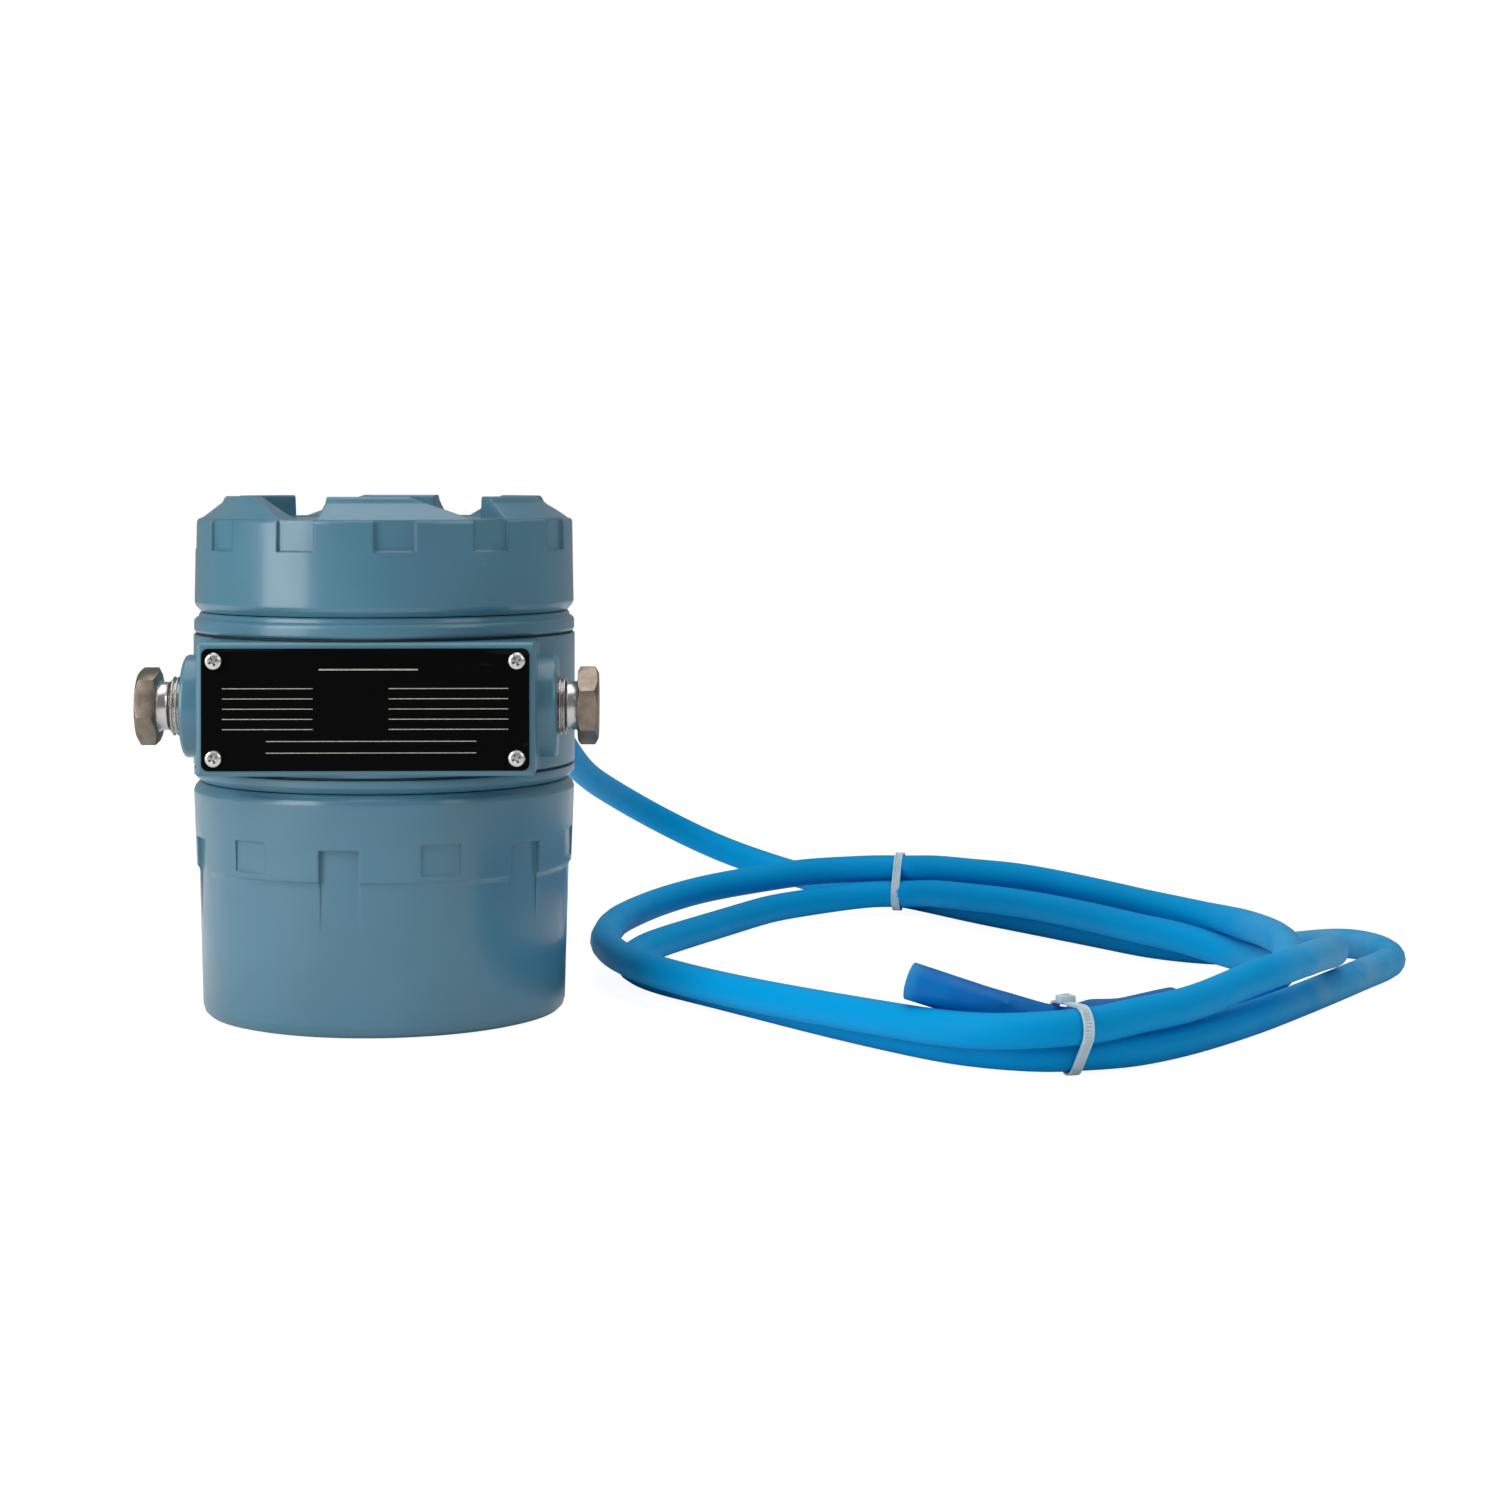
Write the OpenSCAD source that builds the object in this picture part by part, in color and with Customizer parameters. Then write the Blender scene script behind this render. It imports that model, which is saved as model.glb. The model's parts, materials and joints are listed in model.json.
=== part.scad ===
// Remote transmitter of a coriolis mass flow meter: a round flameproof housing that stands on
// its deep bottom cover, with a short castellated top cover, a nameplate block, two blanked
// conduit entries and a signal cable that leaves through a gland at the back.
// Millimetres. +Z is up, the nameplate faces -Y, the origin is the middle of the base.

/* [Housing body] */
// Diameter of the centre section
body_d = 138.4; // [130:0.2:150]
// Height of the centre section between its two weather rings
body_h = 46.9; // [44:0.1:60]
// Bore of the wiring and electronics chambers
chamber_d = 108; // [96:1:112]
// Outside diameter of the threaded necks
neck_d = 122; // [118:0.5:124]
// Length of each threaded neck
neck_h = 16; // [12:0.5:20]
// Thickness of the wall between the two chambers
partition_t = 8; // [5:0.5:12]
// Height of the band above the centre section
upper_band_h = 7.2; // [6:0.2:10]
// Height of the band below the centre section
lower_band_h = 4.8; // [4:0.1:8]

/* [Weather rings] */
// Height of the slot that each weather ring fills
ring_slot_h = 0.9; // [0.8:0.1:1.6]
// Depth of the slot from the body's surface
ring_slot_depth = 2.8; // [2:0.1:3.5]
// How far the rubber stands back from the body's surface
ring_setback = 0.8; // [0.5:0.1:1.2]

/* [Nameplate block] */
// Width of the block
block_w = 116.6; // [110:0.2:122]
// Distance from the housing's axis to the front face of the block
block_reach = 70; // [69.5:0.1:74]
// How much shorter the block is than the centre section
block_drop = 0.7; // [0.2:0.1:2]
// Radius of the block's edges
block_edge_r = 1.8; // [0.5:0.1:2.4]
// Width of the nameplate
plate_w = 112.4; // [100:0.2:114]
// Height of the nameplate
plate_h = 42; // [30:0.5:43]
// Thickness of the nameplate
plate_t = 0.8; // [0.5:0.1:1.5]
// Corner radius of the nameplate
plate_r = 2.4; // [1:0.2:4]
// Distance of the screw centres from the nameplate's edges
screw_inset = 4.3; // [3.6:0.1:6]
// Head diameter of the nameplate screws
screw_head_d = 6; // [4:0.2:7]

/* [Conduit entries] */
// Thread diameter of the entries
entry_d = 20; // [16:1:22]
// Diameter of the round bosses
boss_d = 36; // [32:0.5:38]
// How far each boss stands out from the side of the block
boss_h = 6.9; // [4:0.1:10]
// Distance of the entries in front of the housing's axis
entry_y = 47; // [45:0.5:49]
// Across-flats size of the blanking plugs
plug_af = 24; // [22:0.5:30]
// Thickness of the plug's head
plug_head_h = 7.2; // [6:0.2:14]
// Length of the plain neck under the head
plug_neck_h = 4.2; // [2:0.1:6]
// Length of plug that shows between head and boss on the left
left_plug_show = 9; // [4.5:0.1:10]
// Length of plug that shows between head and boss on the right
right_plug_show = 7; // [4.5:0.1:10]
// Threaded length of the plug
plug_thread_h = 15; // [10:0.5:18]

/* [Covers] */
// Diameter of the top cover at its lower edge
top_cover_d = 137.6; // [134:0.2:144]
// Height of the top cover without its lugs
top_cover_h = 33.4; // [28:0.2:44]
// Diameter of the bottom cover at its upper edge
bottom_cover_d = 138; // [134:0.2:144]
// Height of the bottom cover
bottom_cover_h = 84.6; // [78:0.2:110]
// Height of the step on the outside of the bottom cover
bottom_step_z = 54.4; // [40:0.2:58]
// Thickness of the covers' end walls
cover_end_t = 8; // [5:0.5:10]
// Gap between a cover's rim and the shoulder that it faces
rim_gap = 0.3; // [0.2:0.1:0.8]
// Radial clearance of the covers' screw threads
thread_gap = 0.3; // [0.2:0.05:0.5]

/* [Castellation] */
// Number of sawtooth lugs on the top cover
lug_count = 6; // [4:1:8]
// Height of the lugs
lug_h = 8.1; // [5:0.1:10]
// Angle of the first lug's steep face from the front
lug_turn = -15.2; // [-30:0.1:30]
// Length of the flat floor between two lugs
lug_floor = 14.5; // [8:0.5:18]
// Length of the ramp down the back of each lug
lug_ramp = 15.5; // [8:0.5:18]
// Number of pockets round each cover
pocket_count = 12; // [6:2:16]
// Angle covered by one pocket
pocket_span = 12; // [8:0.5:16]
// Depth of the top cover's pockets
pocket_depth = 1.1; // [0.6:0.1:2]
// Height of the pockets
pocket_h = 11; // [7:0.5:14]
// Angle of the top cover's first pocket from the front
top_pocket_turn = 8.3; // [-15:0.1:15]
// Angle of the bottom cover's first pocket from the front
bottom_pocket_turn = -8; // [-15:0.1:15]

/* [Cable gland] */
// Angle of the gland from straight back, towards the right
gland_turn = 15; // [0:1:25]
// Diameter of the gland's boss
gland_boss_d = 30; // [28:0.5:36]
// Across-flats size of the gland
gland_af = 24; // [22:0.5:28]
// Distance from the housing's axis to the gland's mouth
gland_reach = 108; // [104:0.5:120]
// Outside diameter of the signal cable
cable_d = 11.8; // [11:0.1:12.2]

/* [Electronics] */
// Diameter of the terminal board
terminal_board_d = 96; // [80:1:96]
// Diameter of the electronics boards
board_d = 88; // [70:1:96]
// Thickness of every board
board_t = 1.6; // [1:0.2:2.4]
// Height of the terminal board above the wall between the chambers
terminal_rise = 8; // [6:0.5:12]
// Gap between the wall and the first electronics board
first_board_drop = 22; // [18:0.5:26]
// Gap between the two electronics boards
board_gap = 24; // [20:0.5:26]
// Number of ways of the terminal block
terminal_ways = 6; // [4:1:6]

/* [Hidden] */
$fn = 144;
eps = 0.01;

// Heights of the housing's shoulders, from the base up.
lower_land_z = bottom_cover_h + rim_gap;
lower_slot_z = lower_land_z + lower_band_h;
body_z0 = lower_slot_z + ring_slot_h;
body_z1 = body_z0 + body_h;
upper_slot_z = body_z1;
upper_band_z = upper_slot_z + ring_slot_h;
upper_land_z = upper_band_z + upper_band_h;
neck_top_z = upper_land_z + neck_h;
neck_low_z = lower_land_z - neck_h;
mid_z = (body_z0 + body_z1) / 2;
partition_z = body_z0 + 1.5;
chamber_floor_z = partition_z + partition_t;

// Radii of the housing body.
body_r = body_d / 2;
band_r = body_r - 0.2;
land_r = band_r - 2.3;
slot_r = body_r - ring_slot_depth;
neck_r = neck_d / 2;
chamber_r = chamber_d / 2;
thread_r = neck_r + thread_gap;

// Covers: outside radii, wall and seal.
top_r = top_cover_d / 2;
top_rim_r = top_r - 0.5;
top_rim_z = upper_land_z + rim_gap + top_cover_h;
lug_top_z = top_rim_z + lug_h;
bottom_r = bottom_cover_d / 2;
step_r = bottom_r - 1;
lower_r = step_r - 1;
foot_r = lower_r - 1.3;
seal_d = 3;
seal_offset = 3.6;
lead_in = 2.4;
cover_relief_r = thread_r - 3.4;

// The crown of lugs on the top cover.
crown_top_r = 58.2;
crown_inner_r = crown_top_r - 5.2;
crown_collar_r = crown_top_r + 1.1;
crown_foot_r = top_rim_r - pocket_depth - 0.6;
crown_foot_h = 0.3;
collar_h = 2.3;

// The block, its plate and its screws.
block_z0 = body_z0 + block_drop;
block_h = body_h - block_drop;
block_mid_z = block_z0 + block_h / 2;
plate_y = -block_reach;
screw_x = plate_w / 2 - screw_inset;
screw_z = plate_h / 2 - screw_inset;
screw_hole_d = 3;
screw_len = 7;
screw_head_h = 1.9;
fit = 0.1;

// The conduit entries and their plugs.
boss_face_x = block_w / 2 + boss_h;
entry_end_x = 30;
entry_hole_r = entry_d / 2 + fit;
left_head_x = boss_face_x + left_plug_show;
right_head_x = boss_face_x + right_plug_show;
plug_neck_r = entry_d / 2 - 1.5;

// The gland at the back.
gland_boss_reach = body_r + 4.5;
gland_hole_r = 10.1;
gland_bore_r = cable_d / 2 + 0.3;
gland_flange_t = 5;
gland_nut_h = 14;
gland_nut_start = gland_reach - gland_nut_h;
gland_seal_len = 8;

// The chambers' boards.
terminal_board_z = chamber_floor_z + terminal_rise;
power_board_z = partition_z - first_board_drop - board_t;
main_board_z = power_board_z - board_gap - board_t;
post_inset = 6;
terminal_post_r = terminal_board_d / 2 - post_inset;
board_post_r = board_d / 2 - post_inset;
earth_r = chamber_r - 10;
post_count = 4;
post_d = 6;
spacer_d = 6;
seat_gap = 0.05;

function on_circle(r, a) = [r * cos(a), r * sin(a), 0];
function from_front(a) = a - 90;

// ---------------------------------------------------------------- small shapes

// A flat bar with round corners, made of plain squares and circles.
module round_bar(w, h, r) {
    square([w - 2 * r, h], center = true);
    square([w, h - 2 * r], center = true);
    for (x = [-1, 1], y = [-1, 1])
        translate([x * (w / 2 - r), y * (h / 2 - r)]) circle(r, $fn = 48);
}

// A hexagonal bar along +Z with both ends turned off to a chamfer.
module turned_hex(af, h, chamfer) {
    corner_r = af / sqrt(3);
    intersection() {
        cylinder(r = corner_r, h = h, $fn = 6);
        rotate_extrude()
            polygon([[0, 0], [corner_r - chamfer, 0], [corner_r + eps, chamfer * 0.6],
                     [corner_r + eps, h - chamfer * 0.6], [corner_r - chamfer, h], [0, h]]);
    }
}

// Lays a shape that was built along +Z along the gland's axis, at a distance from the housing.
module at_gland(reach) {
    rotate([0, 0, -gland_turn]) translate([0, reach, mid_z]) rotate([-90, 0, 0]) children();
}

// Stands copies of a post on a circle.
module on_posts(r, turn = 45) {
    for (i = [0 : post_count - 1])
        translate(on_circle(r, turn + i * 360 / post_count)) children();
}

// ---------------------------------------------------------------- housing body

module body_shell() {
    rotate_extrude()
        polygon([
            [chamber_r, neck_low_z], [neck_r - 1, neck_low_z], [neck_r, neck_low_z + 1],
            [neck_r, lower_land_z], [land_r, lower_land_z], [band_r, lower_land_z + 2.2],
            [band_r, lower_slot_z - 0.2], [band_r - 0.2, lower_slot_z], [slot_r, lower_slot_z],
            [slot_r, body_z0], [body_r - 0.3, body_z0], [body_r, body_z0 + 0.3],
            [body_r, body_z1 - 0.3], [body_r - 0.3, body_z1], [slot_r, body_z1],
            [slot_r, upper_band_z], [band_r - 0.5, upper_band_z], [band_r, upper_band_z + 0.8],
            [band_r, upper_land_z - 3.4], [band_r - 0.25, upper_land_z - 2.7],
            [band_r - 0.9, upper_land_z - 2.1], [band_r - 1.6, upper_land_z - 1.8],
            [land_r + 0.3, upper_land_z - 0.5], [land_r - 0.2, upper_land_z],
            [neck_r, upper_land_z], [neck_r, neck_top_z - 1], [neck_r - 1, neck_top_z],
            [chamber_r, neck_top_z], [chamber_r, chamber_floor_z + 2],
            [chamber_r - 2, chamber_floor_z], [0, chamber_floor_z], [0, partition_z],
            [chamber_r, partition_z]
        ]);
}

// The front block: one outline across, one along and one up, met together.
module nameplate_block() {
    depth = block_reach - 20;
    intersection() {
        translate([0, -20, block_mid_z]) rotate([90, 0, 0])
            linear_extrude(depth) round_bar(block_w, block_h, block_edge_r);
        translate([0, -block_reach + depth, block_z0])
            linear_extrude(block_h) round_bar(block_w, 2 * depth, block_edge_r);
        translate([-block_w / 2, -block_reach + depth, block_mid_z]) rotate([90, 0, 90])
            linear_extrude(block_w) round_bar(2 * depth, block_h, block_edge_r);
    }
}

module conduit_boss(side) {
    r = boss_d / 2;
    translate([0, -entry_y, mid_z]) rotate([0, side * 90, 0])
        rotate_extrude()
            polygon([[0, 40], [r, 40], [r, boss_face_x - 1.2], [r - 0.4, boss_face_x - 0.4],
                     [r - 1.2, boss_face_x], [0, boss_face_x]]);
}

module conduit_bore(side) {
    translate([side * entry_end_x, -entry_y, mid_z]) rotate([0, side * 90, 0])
        cylinder(r = entry_hole_r, h = boss_face_x);
}

module housing_body() {
    color("steelblue")
    difference() {
        union() {
            body_shell();
            difference() {
                union() {
                    nameplate_block();
                    for (side = [-1, 1]) conduit_boss(side);
                    at_gland(body_r - 12)
                        rotate_extrude()
                            polygon([[0, 0], [gland_boss_d / 2, 0],
                                     [gland_boss_d / 2, gland_boss_reach - body_r + 11],
                                     [gland_boss_d / 2 - 1, gland_boss_reach - body_r + 12],
                                     [0, gland_boss_reach - body_r + 12]]);
                }
                translate([0, 0, body_z0 - 1]) cylinder(r = chamber_r + 1, h = body_h + 2);
            }
        }
        for (side = [-1, 1]) conduit_bore(side);
        at_gland(chamber_r - 6) cylinder(r = gland_hole_r, h = gland_boss_reach);
        for (x = [-1, 1], z = [-1, 1])
            translate([x * screw_x, plate_y - eps, block_mid_z + z * screw_z]) rotate([-90, 0, 0])
                cylinder(d = screw_hole_d, h = screw_len);
        translate([0, 0, partition_z - 1]) cylinder(r = feed_hole_r, h = partition_t + 2);
        on_posts(terminal_post_r) translate([0, 0, chamber_floor_z - 5]) cylinder(d = 3.2, h = 6);
        on_posts(board_post_r) translate([0, 0, partition_z - 1]) cylinder(d = 3.2, h = 5);
        translate(earth_place) translate([0, 0, -5]) cylinder(d = 4.2, h = 6);
    }
}

// The rubber ring that fills the slot above or below the centre section.
module weather_ring(z) {
    color([0.03, 0.03, 0.03])
    translate([0, 0, z + seat_gap])
        rotate_extrude()
            polygon([[slot_r + seat_gap, 0], [body_r - ring_setback - 0.2, 0],
                     [body_r - ring_setback, 0.2],
                     [body_r - ring_setback, ring_slot_h - 2 * seat_gap - 0.2],
                     [body_r - ring_setback - 0.2, ring_slot_h - 2 * seat_gap],
                     [slot_r + seat_gap, ring_slot_h - 2 * seat_gap]]);
}

// ---------------------------------------------------------------- covers

// One gap between two lugs: a flat floor that ends at a steep face and climbs a ramp.
module lug_gap() {
    rise = lug_h + 2;
    run = lug_ramp * rise / (lug_h - crown_foot_h);
    rotate([90, 0, 0]) translate([0, 0, 30])
        linear_extrude(50)
            polygon([[0, 0], [0.5, rise], [-lug_floor - run, rise], [-lug_floor, 0]]);
}

module lug_crown() {
    difference() {
        rotate_extrude()
            polygon([[crown_inner_r, top_rim_z - 1], [crown_foot_r, top_rim_z - 1],
                     [crown_foot_r, top_rim_z + crown_foot_h / 2],
                     [crown_collar_r, lug_top_z - collar_h],
                     [crown_top_r + 0.3, lug_top_z - 0.7], [crown_top_r - 0.4, lug_top_z],
                     [crown_inner_r + 0.6, lug_top_z], [crown_inner_r, lug_top_z - 0.6]]);
        for (i = [0 : lug_count - 1])
            rotate([0, 0, lug_turn + i * 360 / lug_count])
                translate([0, 0, top_rim_z + crown_foot_h]) lug_gap();
    }
}

// A pocket in the side of a cover: a ring sector that cuts in to radius r.
module side_pocket(r, z0, z1, turn) {
    rotate([0, 0, from_front(turn) - pocket_span / 2])
        rotate_extrude(angle = pocket_span)
            polygon([[r, z0 + 0.6], [r + 0.6, z0], [r + 8, z0], [r + 8, z1], [r, z1]]);
}

module top_cover() {
    z0 = upper_land_z + rim_gap;
    color("steelblue")
    difference() {
        union() {
            rotate_extrude()
                polygon([
                    [thread_r + lead_in, z0], [top_r - 2.2, z0], [top_r - 0.6, z0 + 1.8],
                    [top_r, z0 + 3.2], [top_rim_r, top_rim_z - 1.2],
                    [top_rim_r - 0.35, top_rim_z - 0.35], [top_rim_r - 1.2, top_rim_z],
                    [0, top_rim_z], [0, top_rim_z - cover_end_t],
                    [cover_relief_r - 3, top_rim_z - cover_end_t],
                    [cover_relief_r, top_rim_z - cover_end_t - 3],
                    [cover_relief_r, neck_top_z + 2], [thread_r, neck_top_z + 1],
                    [thread_r, z0 + 1.6]
                ]);
            lug_crown();
        }
        for (i = [0 : pocket_count - 1])
            side_pocket(top_rim_r - pocket_depth, top_rim_z - pocket_h, top_rim_z + eps,
                        top_pocket_turn + i * 360 / pocket_count);
        seal_groove(z0 + seal_offset);
    }
}

module bottom_cover() {
    z1 = bottom_cover_h;
    strong = pocket_count / 2;
    color("steelblue")
    difference() {
        rotate_extrude()
            polygon([
                [0, 0], [foot_r - 4, 0], [foot_r - 2.1, 0.5], [foot_r - 0.7, 1.8],
                [foot_r - 0.05, 4], [lower_r, bottom_step_z - 2], [lower_r + 0.5, bottom_step_z - 0.4],
                [step_r, bottom_step_z], [bottom_r, z1 - 3.4], [bottom_r - 0.5, z1 - 2],
                [land_r + 0.1, z1], [thread_r + lead_in, z1], [thread_r, z1 - 1.6],
                [thread_r, neck_low_z - 1], [cover_relief_r, neck_low_z - 2],
                [cover_relief_r, cover_end_t + 4], [cover_relief_r - 4, cover_end_t],
                [0, cover_end_t]
            ]);
        for (i = [0 : strong - 1]) {
            side_pocket(lower_r - 0.45, bottom_step_z - 24, bottom_step_z + pocket_h,
                        bottom_pocket_turn + i * 360 / strong);
            side_pocket(step_r - 0.3, bottom_step_z + 1.8, bottom_step_z + 1.8 + pocket_h,
                        bottom_pocket_turn + 30 + i * 360 / strong);
        }
        seal_groove(z1 - seal_offset);
    }
}

// The groove inside a cover's skirt that carries its seal.
module seal_groove(z) {
    translate([0, 0, z - seal_d / 2 - 0.1])
        difference() {
            cylinder(r = neck_r + seal_d + 0.2, h = seal_d + 0.2);
            translate([0, 0, -1]) cylinder(r = thread_r - 1, h = seal_d + 3);
        }
}

// A round rubber seal that sits in a cover's groove and presses on the neck.
module cover_seal(z) {
    color([0.05, 0.05, 0.05])
    translate([0, 0, z])
        rotate_extrude()
            translate([neck_r + seal_d / 2 + 0.1, 0]) circle(d = seal_d, $fn = 24);
}

// ---------------------------------------------------------------- nameplate

module nameplate() {
    color([0.03, 0.03, 0.035])
    translate([0, plate_y, block_mid_z]) rotate([90, 0, 0])
        linear_extrude(plate_t)
            difference() {
                round_bar(plate_w, plate_h, plate_r);
                for (x = [-1, 1], z = [-1, 1])
                    translate([x * screw_x, z * screw_z]) circle(d = screw_hole_d + 0.2, $fn = 32);
            }
}

// A pan-head screw with a cross recess; its head stands on the plate's face.
module nameplate_screw(x, z) {
    head_r = screw_head_d / 2;
    color("silver")
    translate([x * screw_x, plate_y - plate_t, block_mid_z + z * screw_z]) rotate([90, 0, 0])
        difference() {
            rotate_extrude()
                polygon([[0, -screw_len + 0.5], [screw_hole_d / 2 - fit, -screw_len + 0.5],
                         [screw_hole_d / 2 - fit, 0], [head_r, 0], [head_r, 0.7],
                         [head_r - 0.3, 1.25], [head_r - 0.9, 1.65], [0, screw_head_h]]);
            for (turn = [25, 115]) rotate([0, 0, turn])
                translate([-1.6, -0.4, screw_head_h - 1.2]) cube([3.2, 0.8, 2]);
        }
}

// ---------------------------------------------------------------- blanking plugs

// A hexagon plug along +Z: threaded shank at the bottom, plain neck, chamfered head on top.
module blanking_plug(head_turn) {
    r = entry_d / 2;
    tip = -plug_neck_h - plug_thread_h;
    rotate([0, 0, head_turn]) turned_hex(plug_af, plug_head_h, 1.9);
    rotate_extrude()
        polygon([[0, tip], [r - 1.2, tip], [r, tip + 1.2], [r, -plug_neck_h - 0.8],
                 [plug_neck_r, -plug_neck_h], [plug_neck_r, eps], [0, eps]]);
}

module left_plug() {
    color("gray")
    translate([-left_head_x, -entry_y, mid_z]) rotate([0, -90, 0]) blanking_plug(15);
}

module right_plug() {
    color("gray")
    translate([right_head_x, -entry_y, mid_z]) rotate([0, 90, 0]) blanking_plug(4.5);
}

// ---------------------------------------------------------------- cable gland

module gland_body() {
    color("silver")
    at_gland(gland_boss_reach)
        difference() {
            union() {
                turned_hex(gland_af, gland_flange_t, 1.2);
                translate([0, 0, -14]) cylinder(r = gland_hole_r - fit, h = 14 + eps);
                cylinder(r = 9.6, h = gland_nut_start - gland_boss_reach + 8);
            }
            translate([0, 0, -15]) cylinder(r = gland_bore_r, h = 60);
            translate([0, 0, gland_nut_start - gland_boss_reach])
                cylinder(r = gland_bore_r + 2.2, h = 20);
        }
}

// The rubber bush that the nut squeezes onto the cable.
module gland_seal() {
    color([0.05, 0.05, 0.05])
    at_gland(gland_nut_start + seat_gap)
        difference() {
            cylinder(r = gland_bore_r + 2.1, h = gland_seal_len);
            translate([0, 0, -1]) cylinder(r = gland_bore_r, h = gland_seal_len + 2);
        }
}

module gland_nut() {
    corner_r = gland_af / sqrt(3);
    color("silver")
    at_gland(gland_nut_start)
        difference() {
            intersection() {
                cylinder(r = corner_r, h = gland_nut_h, $fn = 6);
                rotate_extrude()
                    polygon([[0, 0], [corner_r - 0.8, 0], [corner_r, 0.6], [corner_r, 8.5],
                             [corner_r - 2.5, 10.5], [gland_bore_r + 3.4, gland_nut_h], [0, gland_nut_h]]);
            }
            translate([0, 0, -1]) cylinder(r = 9.6 + fit, h = gland_seal_len + 1.1);
            cylinder(r = gland_bore_r, h = gland_nut_h + 1);
        }
}

// ---------------------------------------------------------------- signal cable

// The cable leaves the gland, drops behind the housing, and lies in two loose turns.
gland_way = [sin(gland_turn), cos(gland_turn), 0];
gland_mouth = gland_reach * gland_way + [0, 0, mid_z];
cable_lay = [
    [42, 146, 108], [49, 172, 97], [54, 199, 84], [62, 245, 63], [73, 267, 53], [88, 284, 42],
    [106, 296, 31], [126, 300, 21], [146, 299, 14], [165, 291, 9], [182, 280, 6], [198, 267, 6],
    [210, 251, 6], [222, 230, 6], [236, 204, 6], [254, 176, 6], [283, 130, 6], [294, 111, 6],
    [306, 98, 6], [321, 89, 6], [337, 87, 6], [353, 92, 7], [368, 95, 8], [378, 92, 8],
    [386, 80, 7], [386, 65, 6], [379, 50, 6], [367, 32, 6], [352, 7, 6], [324, -37, 6],
    [308, -61, 6], [290, -85, 6], [274, -104, 6], [255, -121, 6], [241, -129, 7], [228, -133, 7],
    [212, -128, 7], [197, -113, 6], [176, -86, 6], [157, -60, 6], [118, 0, 6], [102, 22, 6],
    [93, 41, 6], [88, 60, 6], [89, 80, 6], [94, 101, 6], [104, 125, 6], [133, 182, 6],
    [146, 203, 7], [162, 220, 7], [180, 231, 8], [195, 235, 9], [207, 232, 9], [214, 221, 11],
    [220, 205, 13], [234, 184, 14], [251, 162, 15], [279, 113, 15], [291, 92, 14], [304, 74, 14],
    [320, 55, 10], [335, 40, 8], [343, 25, 11], [347, 9, 18], [348, -9, 21], [339, -27, 23],
    [321, -51, 22], [302, -75, 21], [287, -95, 19], [272, -112, 18], [259, -122, 18],
    [244, -136, 17], [230, -142, 17], [213, -142, 16], [196, -132, 15], [179, -109, 14],
    [144, -60, 12], [122, -32, 12], [103, -3, 12], [89, 19, 13], [81, 43, 14], [78, 66, 14],
    [79, 90, 14], [81, 116, 14], [88, 143, 14], [99, 169, 15], [114, 194, 16], [130, 210, 17],
    [147, 222, 18], [163, 233, 19], [180, 239, 19], [195, 241, 19.5], [209, 238, 19.5],
    [219, 228, 21], [227, 214, 22], [238, 195, 23], [254, 177, 24], [283, 136, 22], [295, 117, 21],
    [306, 96, 21], [316, 75, 21], [324, 55, 22], [332, 35, 21], [335, 17, 20], [333, 0, 16],
    [324, -15, 12], [311, -26, 9], [296, -34, 7], [282, -44, 7]
];
cable_route = concat([gland_mouth, gland_mouth + 20 * gland_way], cable_lay);

// The limp sleeve over the cable's end: the front tie pinches it, and its open end stands clear.
sleeve_lay = [
    [282, -44, 7], [270, -53, 7], [261, -71, 9], [251, -93, 13], [245, -111, 16], [237, -121, 16],
    [227, -123, 18], [217, -124, 20], [206, -121, 22], [195, -118, 25], [184, -114, 28]
];
sleeve_wall = 1.3;
sleeve_radii = [6.8, 6.2, 5.4, 5.2, 5, 4.2, 4.5, 5.6, 6, 6.2, 6.3];

function unit(v) = v / norm(v);
function along(path, i) = unit(path[min(i + 1, len(path) - 1)] - path[max(i - 1, 0)]);
function across(t) = unit(cross([0, 0, 1], t));
function ring(centre, t, r, sides) =
    let (u = across(t), v = cross(t, u))
    [for (k = [0 : sides - 1]) centre + r * (cos(k * 360 / sides) * u + sin(k * 360 / sides) * v)];

// A closed tube swept along a route, with one radius for each of its points.
module swept_tube(path, radii, sides) {
    n = len(path);
    points = [for (i = [0 : n - 1]) each ring(path[i], along(path, i), radii[i], sides)];
    walls = [for (i = [0 : n - 2], k = [0 : sides - 1])
        [i * sides + k, (i + 1) * sides + k, (i + 1) * sides + (k + 1) % sides,
         i * sides + (k + 1) % sides]];
    ends = [[for (k = [0 : sides - 1]) k], [for (k = [0 : sides - 1]) n * sides - 1 - k]];
    polyhedron(points, concat(walls, ends), convexity = 10);
}

module signal_cable() {
    color("dodgerblue")
    swept_tube(cable_route, [for (p = cable_route) cable_d / 2], 8);
}

// The sleeve's far end is empty, so it is open like a hose.
module cable_end_sleeve() {
    last = len(sleeve_lay) - 1;
    heading = sleeve_lay[last] - sleeve_lay[last - 1];
    hollow = concat([for (i = [last - 4 : last]) sleeve_lay[i]], [sleeve_lay[last] + heading / 4]);
    hollow_radii = [for (i = [last - 4 : last + 1]) sleeve_radii[min(i, last)] - sleeve_wall];
    color("mediumblue")
    difference() {
        swept_tube(sleeve_lay, sleeve_radii, 10);
        swept_tube(hollow, hollow_radii, 10);
    }
}

strap_gap = 0.3;
strap_t = 0.8;
strap_w = 3.5;
tie_head_w = 5.4;
tie_head_l = 5.2;
tie_head_t = 2.6;

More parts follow.
